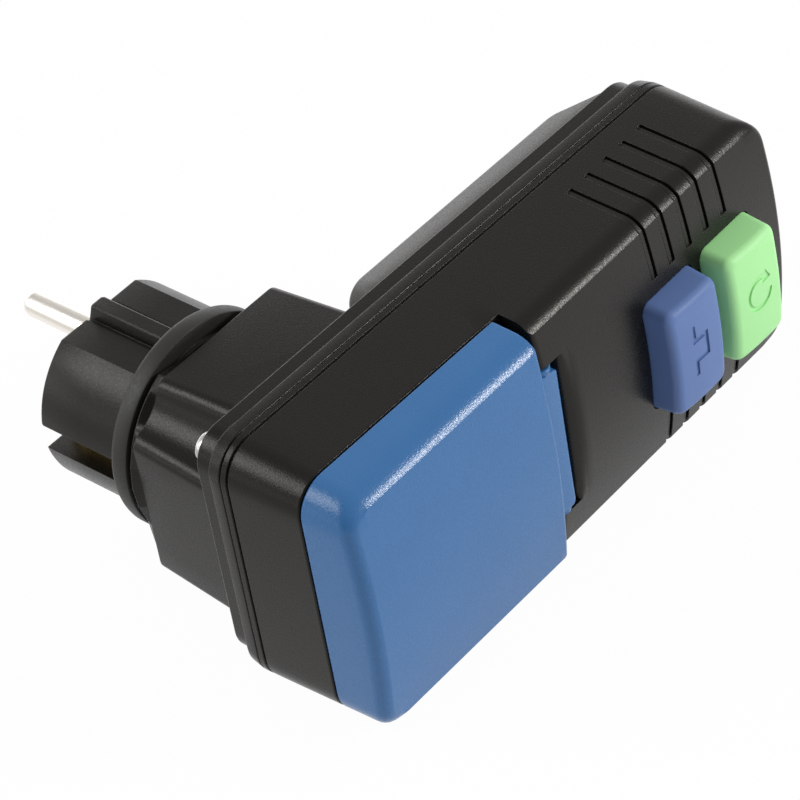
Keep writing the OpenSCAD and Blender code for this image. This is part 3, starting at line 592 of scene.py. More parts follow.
# Hinge trough: round below the barrel, with a rounded lip that runs out on the crowned face.
TROUGH_NEAR, TROUGH_TOP = LID_FAR - 0.8, HINGE_D + 9.0
FADE_X, FADE_L = HINGE_X + 3.5, 3.0
lip_x = HINGE_X + TROUGH_R + TROUGH_LIP
lip_d = face_depth(lip_x, 0) - TROUGH_LIP
trough_profile = [(TROUGH_NEAR, HINGE_D - TROUGH_R)]
trough_profile += arc((HINGE_X, HINGE_D), TROUGH_R, math.radians(-90), math.radians(-9), 9)
trough_profile += arc((lip_x, lip_d), TROUGH_LIP, math.radians(180), math.radians(99), 9)
trough_profile += [(lip_x + 1.0, lip_d + TROUGH_LIP + 0.25), (lip_x + 1.0, TROUGH_TOP),
                   (TROUGH_NEAR, TROUGH_TOP)]
trough_levels = []
for k in range(17):
    z = TROUGH_HALF * (k / 8 - 1)
    sag = z * z / (2 * FACE_CROWN)
    trough_levels.append([(x, d - ease((x - FADE_X) / FADE_L) * sag, z) for x, d in trough_profile])
carve(front_shell, Skin().stack(trough_levels).piece("trough"))
WELL_HOLE_D, BUTTON_HOLE_D = (46.0, 54.0), (54.0, 66.0)
BUTTON_GAP = 0.12
carve(front_shell, lathe("well_hole", (0, 0), [(depth, WELL_HOLE_R) for depth in WELL_HOLE_D], sides=128))
for x in (TEST_X, RESET_X):
    carve(front_shell, slab("button_hole", button_places(x, BUTTON_GAP), *BUTTON_HOLE_D))


# Vent grooves: one cutter for each side, repeated along the body by geometry nodes.
VENT_X = 58.9
VENT_PITCH = 5.1
VENT_COUNT = 5
VENT_START = 42.0
VENT_END_Z = 14.2
VENT_SECTION = [(-0.98, 0.5), (-0.9, 0.02), (-0.5, -0.3), (0.38, -0.34), (0.46, -0.8), (0.7, -0.8),
                (0.76, -0.06), (0.84, 0.02), (0.95, 0.5)]


def vent_path():
    """Points up the side, round the edge and over the face in depth and width, with outward directions."""
    wall = FACE_D - FACE_EDGE
    for _ in range(6):
        end_z = half_w - inset_at(wall) - FACE_EDGE * (1 - math.cos(FACE_SWEEP))
        wall = face_depth(VENT_X, end_z) - FACE_EDGE * math.sin(FACE_SWEEP)
    path = []
    for k in range(7):
        d = VENT_START + (wall - VENT_START) * k / 6
        path.append((d, half_w - inset_at(d), 0.0))
    for k in range(1, 6):
        turn = FACE_SWEEP * k / 7
        z = half_w - inset_at(wall) - FACE_EDGE * (1 - math.cos(turn))
        path.append((wall + FACE_EDGE * math.sin(turn), z, turn))
    on_face = math.pi / 2 - math.atan(end_z / FACE_CROWN)
    path.append((wall + FACE_EDGE * math.sin(FACE_SWEEP), end_z, (FACE_SWEEP + on_face) / 2))
    for k in range(1, 9):
        z = end_z + (VENT_END_Z - end_z) * k / 8
        path.append((face_depth(VENT_X, z), z, math.pi / 2 - math.atan(z / FACE_CROWN)))
    return path


vent_skin = Skin()
for side in (1, -1):
    vent_skin.stack([[(VENT_X + u, d + n * math.sin(turn), side * (z + n * math.cos(turn)))
                      for u, n in VENT_SECTION] for d, z, turn in vent_path()])
vents = vent_skin.piece("vent_cutters")


def geometry_tree(name, inputs):
    """Empty geometry node tree with named inputs."""
    tree = bpy.data.node_groups.new(name, "GeometryNodeTree")
    tree.interface.new_socket("Geometry", in_out="INPUT", socket_type="NodeSocketGeometry")
    for label, kind, value in inputs:
        socket = tree.interface.new_socket(label, in_out="INPUT", socket_type=kind)
        if value is not None:
            socket.default_value = value
    tree.interface.new_socket("Geometry", in_out="OUTPUT", socket_type="NodeSocketGeometry")
    return tree, node(tree, "NodeGroupInput")


def end_tree(tree, geometry, material):
    """Makes instances real, sets the material and ends the tree."""
    real = node(tree, "GeometryNodeRealizeInstances", {"Geometry": geometry})
    dressed = node(tree, "GeometryNodeSetMaterial", {
        "Geometry": real.outputs["Geometry"], "Material": material})
    node(tree, "NodeGroupOutput", {"Geometry": dressed.outputs["Geometry"]})


def grow(host, tree, **values):
    """Runs a tree on a host with its inputs set, and keeps the plain mesh."""
    step = host.modifiers.new("grow", "NODES")
    step.node_group = tree
    for item in tree.interface.items_tree:
        if item.in_out == "INPUT" and item.name in values:
            step[item.identifier] = values[item.name]
    return settle(host)


row_tree, row_in = geometry_tree("groove_row", [
    ("count", "NodeSocketInt", 1), ("offset", "NodeSocketVector", (0, 0, 0))])
row_line = node(row_tree, "GeometryNodeMeshLine", {
    "Count": row_in.outputs["count"], "Offset": row_in.outputs["offset"]})
row_copies = node(row_tree, "GeometryNodeInstanceOnPoints", {
    "Points": row_line.outputs["Mesh"], "Instance": row_in.outputs["Geometry"]})
end_tree(row_tree, row_copies.outputs["Instances"], black_abs)
grow(vents, row_tree, count=VENT_COUNT, offset=(VENT_PITCH * MM, VENT_PITCH * FACE_FALL * MM, 0.0))
carve(front_shell, vents)


# Rear cover: stepped rim, square pedestal with a round seat for the plug, bulge behind the electronics.
def rim_level(depth, run_in):
    """Level of the rear cover's rim, run in from the housing's outline."""
    corner = CORNER - run_in * 0.6
    return (outline(near_x + run_in, far_x - run_in, half_w - run_in, corner, corner,
                    evenly(near_x + 10, far_x - 10, 24)), depth)


RIM_EDGE = [(0.0, 0.32), (0.08, 0.12), (0.3, 0.02)]
RIM_LIP = [(0.3, 0.03), (0.12, 0.06), (0.02, 0.2)]
rear_cover = loft("rear_cover_dressed",
                  [rim_level(COVER_D + rise, RIM_IN + run_in) for rise, run_in in RIM_EDGE]
                  + [rim_level(RIM_D - 0.02, RIM_IN - 0.01)]
                  + [rim_level(RIM_D + rise, RIM_MID_IN + run_in * 1.4) for rise, run_in in RIM_EDGE]
                  + [rim_level(part_d - gap, run_in) for gap, run_in in RIM_LIP])


def box_level(x0, x1, half, corner, depth):
    """Level of a block with four equal corners."""
    return (outline(x0, x1, half, corner, corner, evenly(x0 + corner, x1 - corner, 8)), depth)


FLUTE_LIP = 2.6
FLUTE_ARC = 16


def pedestal_outline(spread):
    """Rectangle with two plain corners and two that are fluted round the screws, with rounded lips."""
    a, b = PEDESTAL_L + spread, PEDESTAL_W + spread
    (cx, cz), lip = SCREW_SPOTS[0], FLUTE_LIP
    reach = FLUTE_R + lip
    low = (lip - a, cz - math.sqrt(reach ** 2 - (lip - a - cx) ** 2))
    high = (cx + math.sqrt(reach ** 2 - (b - lip - cz) ** 2), b - lip)
    low_turn = math.atan2(low[1] - cz, low[0] - cx)
    high_turn = math.atan2(high[1] - cz, high[0] - cx)
    half = arc(high, lip, math.pi / 2, high_turn + math.pi, 6)
    half += arc((cx, cz), FLUTE_R, high_turn, low_turn, FLUTE_ARC)[1:-1]
    half += arc(low, lip, low_turn + math.pi, math.pi, 6)
    corner = PEDESTAL_CORNER
    half += [(-a, low[1] + (corner - b - low[1]) * k / 6) for k in range(1, 6)]
    half += arc((corner - a, corner - b), corner, math.pi, 1.5 * math.pi, 6)
    return half + [(-x, -z) for x, z in half]


# The round seat of the plug runs out into the square pedestal over a short slope.
SEAT_LEVELS = [(RING_SEAT, RING_R - 0.3), (RING_SEAT + 0.1, RING_R - 0.1), (RING_SEAT + 0.3, RING_R - 0.05)]
PEDESTAL_LEVELS = [(PEDESTAL_D - 0.03, 0.1), (PEDESTAL_D + 0.12, 0.02), (PEDESTAL_D + 0.4, 0.0),
                   (COVER_D / 2, 0.0), (COVER_D + 1.0, 0.0)]
pedestal_levels = [[(radius * x / math.hypot(x, z), depth, radius * z / math.hypot(x, z))
                    for x, z in pedestal_outline(0.0)] for depth, radius in SEAT_LEVELS]
for depth, run_in in PEDESTAL_LEVELS:
    spread = PEDESTAL_DRAFT * max(0.0, depth - PEDESTAL_D) - run_in
    pedestal_levels.append([(x, depth, z) for x, z in pedestal_outline(spread)])
pedestal = Skin().stack(pedestal_levels).piece("pedestal")

# Bulge: depth, near end, far end and half width at each level.
BULGE_CORNER = 4.0
BULGE_LEVELS = [(BULGE_D, 23.6, 79.8, 20.2), (BULGE_D + 0.12, 22.9, 80.6, 20.9),
                (BULGE_D + 0.5, 22.2, 81.5, 21.5), (BULGE_D + 1.2, 21.8, 82.4, 22.0),
                (COVER_D - 0.2, 20.4, 89.2, 24.5), (COVER_D + 1.0, 19.9, 90.4, 24.7)]
bulge = loft("bulge", [box_level(near, far, half, BULGE_CORNER, d) for d, near, far, half in BULGE_LEVELS])
for x, z in SCREW_SPOTS[:2]:
    carve(bulge, lathe("flute", (x, z), [(2.0, FLUTE_R), (COVER_D, FLUTE_R)], sides=96))
join(rear_cover, pedestal, bulge)
for x, z in SCREW_SPOTS[2:]:
    carve(rear_cover, lathe("recess", (x, z), [(15.0, HEAD_R + 1), (COVER_D, HEAD_R + 1)], sides=48))
HOLLOW_IN, HOLLOW_CORNER = 4.0, 4.0
carve(rear_cover, loft("hollow", [
    box_level(near_x + HOLLOW_IN, far_x - HOLLOW_IN, half_w - HOLLOW_IN, HOLLOW_CORNER, depth)
    for depth in (COVER_D + WALL, part_d + 1)]))
carve(rear_cover, lathe("neck_hole", (0, 0), [(2.0, NECK_R + 0.1), (12.0, NECK_R + 0.1)], sides=96))

# Cross-recessed screws, one shape set at four spots by geometry nodes.
SCREW_R = 1.45
CROSS_L, CROSS_W = 1.7, 0.36
head_d = COVER_D - HEAD_H
screw = lathe("cover_screws_dressed", (0, 0), [
    (head_d, HEAD_R - 1.5), (head_d + 0.12, HEAD_R - 0.9), (head_d + 0.5, HEAD_R - 0.3),
    (head_d + 1.1, HEAD_R - 0.03), (COVER_D - 0.25, HEAD_R), (COVER_D, HEAD_R - 0.1), (COVER_D, SCREW_R),
    (COVER_D + 19.4, SCREW_R), (COVER_D + 20.0, 0.8)], sides=48)
for a, b in ((CROSS_L, CROSS_W), (CROSS_W, CROSS_L)):
    carve(screw, slab("cross", [(-a, -b), (a, -b), (a, b), (-a, b)], head_d - 1, head_d + 1.3))
cover_screws = put("screw_spots", bpy.data.meshes.new("screw_spots"))
cover_screws.data.from_pydata([Vector((x * MM, 0, z * MM)) for x, z in SCREW_SPOTS], [], [])
spot_tree, spot_in = geometry_tree("screw_set", [("screw", "NodeSocketObject", None)])
spot_shape = node(spot_tree, "GeometryNodeObjectInfo", {"Object": spot_in.outputs["screw"]})
spot_copies = node(spot_tree, "GeometryNodeInstanceOnPoints", {
    "Points": spot_in.outputs["Geometry"], "Instance": spot_shape.outputs["Geometry"]})
end_tree(spot_tree, spot_copies.outputs["Instances"], zinc)
grow(cover_screws, spot_tree, screw=screw)
bpy.data.objects.remove(screw)
cover_screws.name = "cover_screws_dressed"


# Plug body: round with two flats, a guide rib on each flat and an earth slot on each side.
RIB_GROOVE = 0.5


def plug_section(run_in):
    """Quarter of the plug's outline from the slot to the rib, mirrored round."""
    radius, level = PLUG_R - run_in, FLAT - run_in
    slot = SLOT_HALF + run_in
    quarter = [(SLOT_FLOOR - run_in, 0.0), (SLOT_FLOOR - run_in, slot)]
    quarter += arc((0, 0), radius, math.asin(slot / radius), math.asin(level / radius), 14)
    foot, floor = RIB_HALF + RIB_FOOT, level - RIB_GROOVE
    quarter += [(foot + 1.1 + run_in, level), (foot + 1.0, level - 0.1), (foot + 0.95, floor),
                (foot + 0.15, floor)]
    side, crest = RIB_HALF - run_in, RIB_TOP - run_in
    quarter += [(side + 0.05, crest - 0.5), (side - 0.1, crest - 0.18), (side - 0.42, crest), (0.0, crest)]
    upper = quarter + [(-x, z) for x, z in reversed(quarter[:-1])]
    return upper + [(x, -z) for x, z in reversed(upper[1:-1])]


PLUG_LEVELS = [(-PLUG_L, 0.7), (-PLUG_L + 0.1, 0.4), (-PLUG_L + 0.35, 0.14), (-PLUG_L + 0.8, 0.0),
               (-PLUG_L / 2, 0.0), (0.0, 0.0)]
plug_body = Skin().stack([[(x, depth, z) for x, z in plug_section(run_in)]
                          for depth, run_in in PLUG_LEVELS]).piece("plug_body_dressed")
NECK_END, HOLE_END, FLANGE_END, PIN_END = 11.9, 14.0, 13.3, 14.5
join(plug_body, lathe("shoulder", (0, 0), [(-1.0, SHOULDER_R - 4), (RING_SEAT - 0.05, SHOULDER_R - 0.05),
                                           (RING_SEAT, NECK_R), (NECK_END, NECK_R)], sides=96))
SHANK_R = PIN_R + 0.3
HOLE_R = SHANK_R + 0.06
for z in (-PIN_Z, PIN_Z):
    carve(plug_body, lathe("pin_hole", (0, z), [(-PLUG_L - 1, SHANK_R + 0.3), (-PLUG_L + 0.25, HOLE_R),
                                                (HOLE_END, HOLE_R)]))

PIN_FLANGE = PIN_R + 0.8
tip_d = -PLUG_L - PIN_L
PIN_STOPS = [(tip_d, 0.5), (tip_d + 0.06, 1.05), (tip_d + 0.28, 1.6), (tip_d + 0.65, 2.02),
             (tip_d + 1.15, 2.3), (tip_d + 1.7, PIN_R), (-PLUG_L, PIN_R), (-PLUG_L + 0.02, SHANK_R),
             (NECK_END, SHANK_R), (NECK_END, PIN_FLANGE), (FLANGE_END, PIN_FLANGE), (FLANGE_END, SHANK_R),
             (PIN_END, SHANK_R)]
pins = {name: lathe(name + "_dressed", (0, z), PIN_STOPS)
        for name, z in (("plug_pin_line", PIN_Z), ("plug_pin_neutral", -PIN_Z))}

# Flange seal: rounded outer edge, with a foot that sits on the round seat.
RING_FOOT, RING_IN = SHOULDER_R + 1.2, SHOULDER_R + 0.05
seal_ring = lathe("plug_seal_ring_dressed", (0, 0), [
    (0.0, RING_IN), (0.0, RING_R - 1.1), (0.12, RING_R - 0.75), (0.4, RING_R - 0.36), (0.8, RING_R - 0.1),
    (1.2, RING_R), (RING_T - 0.35, RING_R), (RING_T - 0.1, RING_R - 0.1), (RING_T, RING_R - 0.35),
    (RING_T, RING_FOOT), (RING_SEAT, RING_FOOT), (RING_SEAT, RING_IN)], sides=160, hollow=True)

# Lid: hollow cap with rounded edges and a crowned face, hung on an arm with a hinge barrel.
LID_BACK = SEAM_D + 0.3
lid_stations = evenly(near_x + 10, LID_FAR - 1, 24)


def lid_block(name, run_in, back, edge, near_edge, hinge_edge):
    """Block of the lid or of the room in it, from its back to its crowned face."""
    skin = Skin()
    x0, x1, half = near_x + run_in, LID_FAR - run_in, half_w - run_in

    def level(inset, end_in):
        return outline(x0 + inset, x1 - end_in, half - inset, max(CORNER - run_in - inset, 1.0),
                       0.6, lid_stations)

    def place(i, inset, below):
        return level(inset, roll(below, hinge_edge))[i]

    def rounding(x):
        side = ease((x - x0) / CORNER)
        return near_edge + (edge - near_edge) * side, END_SWEEP + (LID_SWEEP - END_SWEEP) * side

    def face(x, z):
        return lid_depth(x, z) - run_in

    foot = skin.ring([(x, back, z) for x, z in level(inset_at(back) + 0.15, 0.1)])
    rings = edge_rings(skin, level(0.0, 0.0), place, back, face, rounding, (0.04, 0.35, 0.7, 1.0), EDGE_STEPS)
    skin.bridge(foot, rings[0])
    cap_rows(skin, foot, flat(back))
    cap_rows(skin, rings[-1], face)
    return skin.piece(name)


lid = lid_block("lid_dressed", 0.0, LID_BACK, LID_EDGE, LID_NEAR_EDGE, LID_HINGE_EDGE)
carve(lid, lid_block("lid_room", WALL, LID_BACK - 2, LID_EDGE - WALL, near_edge=1.0, hinge_edge=0.4))
ARM_LOW, ARM_HIGH = HINGE_D - 2.2, HINGE_D + 2.2
opening_near, opening_far = LID_FAR - WALL - 1, LID_FAR + 1
carve(lid, prism("end_opening", [(opening_near, SEAM_D - 1), (opening_far, SEAM_D - 1),
                                 (opening_far, ARM_LOW), (opening_near, ARM_LOW)],
                 (-BARREL_HALF, BARREL_HALF)))

# Hinge arm: round under the pin, flat to the front, with one softly rounded far edge and rounded ends.
ARM_EDGE = 0.9
ARM_CORNER = 1.7
ARM_ENDS = [0.0, 0.06, 0.2, 0.42, 0.75, 1.2, ARM_CORNER]
arm_near, arm_far = LID_FAR - 1.6, HINGE_X + BARREL_R
arm = [(arm_near, ARM_LOW), (HINGE_X - 1.8, ARM_LOW)]
arm += arc((HINGE_X, HINGE_D), BARREL_R, math.radians(-120), 0.0, 12)
arm += arc((arm_far - ARM_EDGE, ARM_HIGH - ARM_EDGE), ARM_EDGE, 0.0, math.radians(90), 6)
arm += [(arm_near, ARM_HIGH)]
arm_levels = []
for z in [end - BARREL_HALF for end in ARM_ENDS] + [BARREL_HALF - end for end in reversed(ARM_ENDS)]:
    limit = arm_far - roll(BARREL_HALF - abs(z), ARM_CORNER)
    arm_levels.append([(min(x, limit), d, z) for x, d in arm])
join(lid, Skin().stack(arm_levels).piece("arm"))
COLLAR_R, COLLAR_L = 2.1, 1.0
for side in (-1, 1):
    join(lid, lathe("collar", (HINGE_X, HINGE_D), [
        (side * (BARREL_HALF - 1), COLLAR_R), (side * (BARREL_HALF + COLLAR_L - 0.15), COLLAR_R),
        (side * (BARREL_HALF + COLLAR_L), COLLAR_R - 0.15)], along="z", sides=40))
SEAL_TOP = 57.0
SEAL_WALL = [(SEAL_TOP, 20.1), (SEAL_TOP, 22.3), (62.0, 22.3), (62.0, 20.1)]
PIN_BORE, SPRING_BORE = 1.31, 1.95
bore_end = BARREL_HALF + 2
SPRING_START = 8.5
spring_end = BARREL_HALF - 0.7
join(lid, lathe("seal_wall", (0, 0), SEAL_WALL, sides=96, hollow=True))
carve(lid, lathe("pin_bore", (HINGE_X, HINGE_D), [(-bore_end, PIN_BORE), (bore_end, PIN_BORE)],
                 along="z", sides=32))
carve(lid, lathe("spring_bore", (HINGE_X, HINGE_D), [(SPRING_START, SPRING_BORE), (spring_end, SPRING_BORE)],
                 along="z", sides=40))


# Buttons: drafted caps with rounded edges, a pillowed top and a shallow engraved mark.
CAP_CROWN_L, CAP_CROWN_W = 65.0, 100.0
CAP_FOOT = 2.4
CAP_FLANGE = 1.0
CAP_LEAN = 0.35
CAP_WALL = 1.8
CAP_TOP = 3.2
CAP_ROOM_CORNER = 1.4
MARK_LINE = 0.9
MARK_DEPTH = 0.3


def button(name, x, mark):
    """Hollow cap on a flange that stays behind the face, with a mark cut into its top."""
    half_l, half_b = BUTTON_L / 2, BUTTON_W / 2
    edge = BUTTON_EDGE
    foot = face_depth(x + half_l, half_b) - CAP_FOOT

    def top(px, pz):
        return BUTTON_D - (px - x) ** 2 / (2 * CAP_CROWN_L) - (pz - BUTTON_Z) ** 2 / (2 * CAP_CROWN_W)

    def places(run_in):
        corner = max(BUTTON_CORNER - 0.6 * run_in, 1.0)
        rim = outline(x - half_l + run_in, x + half_l - run_in, half_b - run_in, corner, corner,
                      evenly(x - 3.4, x + 3.4, 7))
        return [(px, pz + BUTTON_Z) for px, pz in rim]

    levels = [(places(-CAP_FLANGE), foot - 2.0), (places(-CAP_FLANGE), foot), (places(0.0), foot + 0.02),
              (places(0.05), foot + 2.0)]
    for share in (0.5, 1.0):
        levels.append((places(0.1 + CAP_LEAN * share),
                       lambda px, pz, s=share: foot + 2 + (top(px, pz) - edge - foot - 2) * s))
    for k in range(1, 9):
        turn = math.pi / 2 * k / 8
        levels.append((places(0.1 + CAP_LEAN + edge * (1 - math.cos(turn))),
                       lambda px, pz, t=turn: top(px, pz) - edge * (1 - math.sin(t))))
    made = loft(name, levels)
    room = outline(x - half_l + CAP_WALL, x + half_l - CAP_WALL, half_b - CAP_WALL, CAP_ROOM_CORNER,
                   CAP_ROOM_CORNER, evenly(x - 3.4, x + 3.4, 3))
    carve(made, slab("room", room, foot - 4, BUTTON_D - CAP_TOP))
    for line, depth in mark(x, top):
        carve(made, slab("mark", line, depth, BUTTON_D + 1))
    return made


def band(points, width):
    """Outline of a flat line of a width through points in length and width."""
    left, right = [], []
    for i, p in enumerate(points):
        a, b = points[max(i - 1, 0)], points[min(i + 1, len(points) - 1)]
        run = Vector((b[0] - a[0], b[1] - a[1])).normalized()
        out = Vector((-run.y, run.x)) * width / 2
        left.append((p[0] + out.x, p[1] + out.y))
        right.append((p[0] - out.x, p[1] - out.y))
    return left + list(reversed(right))


def pulse_mark(x, top):
    """Step pulse: a line that rises and falls once."""
    wide, foot, end = 1.6, 2.2, 5.0
    line = [(x - wide, end), (x - wide, foot), (x + wide, foot), (x + wide, -foot), (x - wide, -foot),
            (x - wide, -end)]
    depth = top(x, 4.0) - MARK_DEPTH
    marks = []
    for a, b in zip(line, line[1:]):
        run = Vector((b[0] - a[0], b[1] - a[1])).normalized() * MARK_LINE / 2
        ends = [(a[0] - run.x, a[1] - run.y), (b[0] + run.x, b[1] + run.y)]
        marks.append((band(ends, MARK_LINE), depth))
    return marks


def turn_mark(x, top):
    """Open circle with an arrow head at one end."""
    loop_r, head_l, head_w = 3.1, 2.1, 1.35
    line = arc((x, 0.0), loop_r, math.radians(60), math.radians(350), 40)
    lean = math.radians(62)
    start = Vector((x + loop_r * math.cos(lean), loop_r * math.sin(lean)))
    ahead = Vector((math.sin(lean), -math.cos(lean)))
    across = Vector((-ahead.y, ahead.x))
    head = [start + ahead * head_l, start + across * head_w, start - across * head_w]
    depth = top(x, loop_r) - MARK_DEPTH
    return [(band(line, MARK_LINE), depth), ([tuple(p) for p in head], depth)]


test_button = button("test_button_dressed", TEST_X, pulse_mark)
reset_button = button("reset_button_dressed", RESET_X, turn_mark)

# Seals: a lip ring under the lid and a cord in the parting line.
lid_seal = lathe("lid_seal_dressed", (0, 0), [
    (SEAL_TOP, 20.12), (SEAL_TOP, 22.28), (55.9, 22.25), (55.35, 22.0), (55.12, 21.5), (55.1, 21.2),
    (55.12, 20.9), (55.35, 20.4), (55.9, 20.15)], sides=128, hollow=True)
CORD_SECTION = [(1.3, 33.85), (1.3, 34.75), (1.5, 34.95), (2.0, 35.0), (2.5, 34.95), (2.7, 34.75),
                (2.7, 33.85)]
cord_levels = []
for run_in, depth in CORD_SECTION:
    places = outline(near_x + run_in, far_x - run_in, half_w - run_in, CORNER - run_in, CORNER - run_in,
                     evenly(near_x + 10, far_x - 10, 10))
    cord_levels.append([(x, depth, z) for x, z in places])
housing_seal = Skin().stack(cord_levels, joined=True).piece("housing_seal_dressed")

# Springs and the trip winding: round wire wound on a helix by geometry nodes.
coil_tree, coil_in = geometry_tree("wire_coil", [
    ("turns", "NodeSocketFloat", 5.0), ("radius", "NodeSocketFloat", 0.002),
    ("height", "NodeSocketFloat", 0.01), ("wire", "NodeSocketFloat", 0.0003),
    ("turn", "NodeSocketRotation", None), ("foot", "NodeSocketVector", None),
    ("metal", "NodeSocketMaterial", None)])
coil_line = node(coil_tree, "GeometryNodeCurveSpiral", {
    "Resolution": 28, "Rotations": coil_in.outputs["turns"], "Start Radius": coil_in.outputs["radius"],
    "End Radius": coil_in.outputs["radius"], "Height": coil_in.outputs["height"]})
coil_wire = node(coil_tree, "GeometryNodeCurvePrimitiveCircle", {
    "Resolution": 10, "Radius": coil_in.outputs["wire"]})
coil_tube = node(coil_tree, "GeometryNodeCurveToMesh", {
    "Curve": coil_line.outputs["Curve"], "Profile Curve": coil_wire.outputs["Curve"], "Fill Caps": True})
coil_set = node(coil_tree, "GeometryNodeTransform", {
    "Geometry": coil_tube.outputs["Mesh"], "Translation": coil_in.outputs["foot"],
    "Rotation": coil_in.outputs["turn"]})
end_tree(coil_tree, coil_set.outputs["Geometry"], coil_in.outputs["metal"])


def coil(name, foot, turn, turns, radius, height, wire, metal):
    """Wire of a thickness wound in turns of a radius over a height, from a foot point."""
    return grow(put(name, bpy.data.meshes.new(name)), coil_tree, turns=float(turns), radius=radius * MM,
                height=height * MM, wire=wire / 2 * MM, turn=turn, foot=at(*foot), metal=metal)


TO_FRONT = (math.pi / 2, 0.0, 0.0)
ALONG = (0.0, math.pi / 2, 0.0)
UPWARD = (0.0, 0.0, 0.0)


def mid(node_name):
    """Middle of a CAD node in millimetres."""
    x0, x1, d0, d1, z0, z1 = span(node_name)
    return (x0 + x1) / 2, (d0 + d1) / 2, (z0 + z1) / 2


PRESS_WIRE, LID_WIRE, TRIP_WIRE = 0.6, 0.5, 0.64
TEST_COIL_R, RESET_COIL_R, LID_COIL_R, TRIP_COIL_R = 2.6, 2.3, 1.64, 3.25
WIRE_ROOM, LID_ROOM, TRIP_ROOM = 0.32, 0.4, 0.35
test_box, reset_box = span("test_spring"), span("reset_springs")
lid_box, trip_box = span("lid_spring"), span("trip_coil")
test_spring = coil("test_spring_dressed", (TEST_X, test_box[2] + WIRE_ROOM, 0), TO_FRONT, turns=7.5,
                   radius=TEST_COIL_R, height=test_box[3] - test_box[2] - 2 * WIRE_ROOM, wire=PRESS_WIRE,
                   metal=zinc)
reset_mid = mid("reset_springs")[0]
reset_z = reset_box[5] - RESET_COIL_R - PRESS_WIRE / 2
reset_height = reset_box[3] - reset_box[2] - 2 * WIRE_ROOM
reset_springs, reset_second = [
    coil(name, (reset_mid, reset_box[2] + WIRE_ROOM, z), TO_FRONT, turns=4.5, radius=RESET_COIL_R,
         height=reset_height, wire=PRESS_WIRE, metal=zinc)
    for name, z in (("reset_springs_dressed", reset_z), ("reset_spring_second", -reset_z))]
pair = bmesh.new()
pair.from_mesh(reset_springs.data)
pair.from_mesh(reset_second.data)
pair.to_mesh(reset_springs.data)
pair.free()
bpy.data.objects.remove(reset_second)
lid_spring = coil("lid_spring_dressed", (HINGE_X, HINGE_D, lid_box[4] + LID_ROOM), UPWARD, turns=8.5,
                  radius=LID_COIL_R, height=spring_end - lid_box[4] - 2 * LID_ROOM, wire=LID_WIRE, metal=zinc)
trip_mid = mid("trip_coil")
trip_winding = coil("trip_coil_dressed", (trip_box[0] + TRIP_ROOM, trip_mid[1], trip_mid[2]), ALONG, turns=20,
                    radius=TRIP_COIL_R, height=trip_box[1] - trip_box[0] - 2 * TRIP_ROOM, wire=TRIP_WIRE,
                    metal=enamel)

# Transformer winding: one loop of wire round the core section, repeated round the ring.
LOOP_TURNS = 58
LOOP_SIDES = 6
LOOP_WIRE_R = 0.46
LOOP_BEND = 0.6
LOOP_GAP = 0.5
LOOP_INNER_R = 9.95
core_box = span("transformer_core")
loop_low, loop_high = LOOP_INNER_R, (core_box[5] - core_box[4]) / 2 + LOOP_GAP
loop_half = (core_box[1] - core_box[0]) / 2 + LOOP_GAP
loop_path = [(-loop_half, loop_low + LOOP_BEND), (-loop_half + LOOP_BEND, loop_low),
             (loop_half - LOOP_BEND, loop_low), (loop_half, loop_low + LOOP_BEND),
             (loop_half, loop_high - LOOP_BEND), (loop_half - LOOP_BEND, loop_high),
             (-loop_half + LOOP_BEND, loop_high), (-loop_half, loop_high - LOOP_BEND)]
loop_points, loop_faces = [], []
for i, (x, r) in enumerate(loop_path):
    j = (i + 1) % len(loop_path)
    a, b = loop_path[i - 1], loop_path[j]
    run = Vector((b[0] - a[0], b[1] - a[1])).normalized()
    for k in range(LOOP_SIDES):
        turn = 2 * math.pi * k / LOOP_SIDES
        out = LOOP_WIRE_R * math.cos(turn)
        m = (k + 1) % LOOP_SIDES
        loop_points.append(Vector((x - run.y * out, LOOP_WIRE_R * math.sin(turn), r + run.x * out)) * MM)
        loop_faces.append((i * LOOP_SIDES + k, i * LOOP_SIDES + m, j * LOOP_SIDES + m, j * LOOP_SIDES + k))
transformer_winding = put("transformer_winding_dressed", bpy.data.meshes.new("transformer_winding_dressed"))
transformer_winding.data.from_pydata(loop_points, [], loop_faces)
wind_tree, wind_in = geometry_tree("toroid_winding", [
    ("turns", "NodeSocketInt", LOOP_TURNS), ("middle", "NodeSocketVector", None)])
wind_line = node(wind_tree, "GeometryNodeMeshLine", {"Count": wind_in.outputs["turns"], "Offset": (0, 0, 0)})
wind_index = node(wind_tree, "GeometryNodeInputIndex")
wind_share = node(wind_tree, "ShaderNodeMath", {0: wind_index.outputs["Index"], 1: wind_in.outputs["turns"]},
                  operation="DIVIDE")
wind_turn = node(wind_tree, "ShaderNodeMath", {0: wind_share.outputs[0], 1: 2 * math.pi}, operation="MULTIPLY")
wind_axis = node(wind_tree, "ShaderNodeCombineXYZ", {"X": wind_turn.outputs[0]})
wind_copies = node(wind_tree, "GeometryNodeInstanceOnPoints", {
    "Points": wind_line.outputs["Mesh"], "Instance": wind_in.outputs["Geometry"],
    "Rotation": wind_axis.outputs["Vector"]})
wind_set = node(wind_tree, "GeometryNodeTransform", {
    "Geometry": wind_copies.outputs["Instances"], "Translation": wind_in.outputs["middle"]})
end_tree(wind_tree, wind_set.outputs["Geometry"], enamel)
grow(transformer_winding, wind_tree, turns=LOOP_TURNS, middle=at(*mid("transformer_core")))


# Every piece rides on its body and stands for its solid, which is hidden.
CREASE, SHELL_CREASE = 32, 19


def dress(piece, body, slot, material, *nodes, angle=CREASE):
    """Shades a piece, gives it its material, hangs it on its body and hides the CAD solids it stands for; its
    slot is not used.
    """
    smooth(piece, angle)
    piece.data.materials.clear()
    piece.data.materials.append(material)
    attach(piece, body)
    if nodes:
        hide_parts(*nodes)


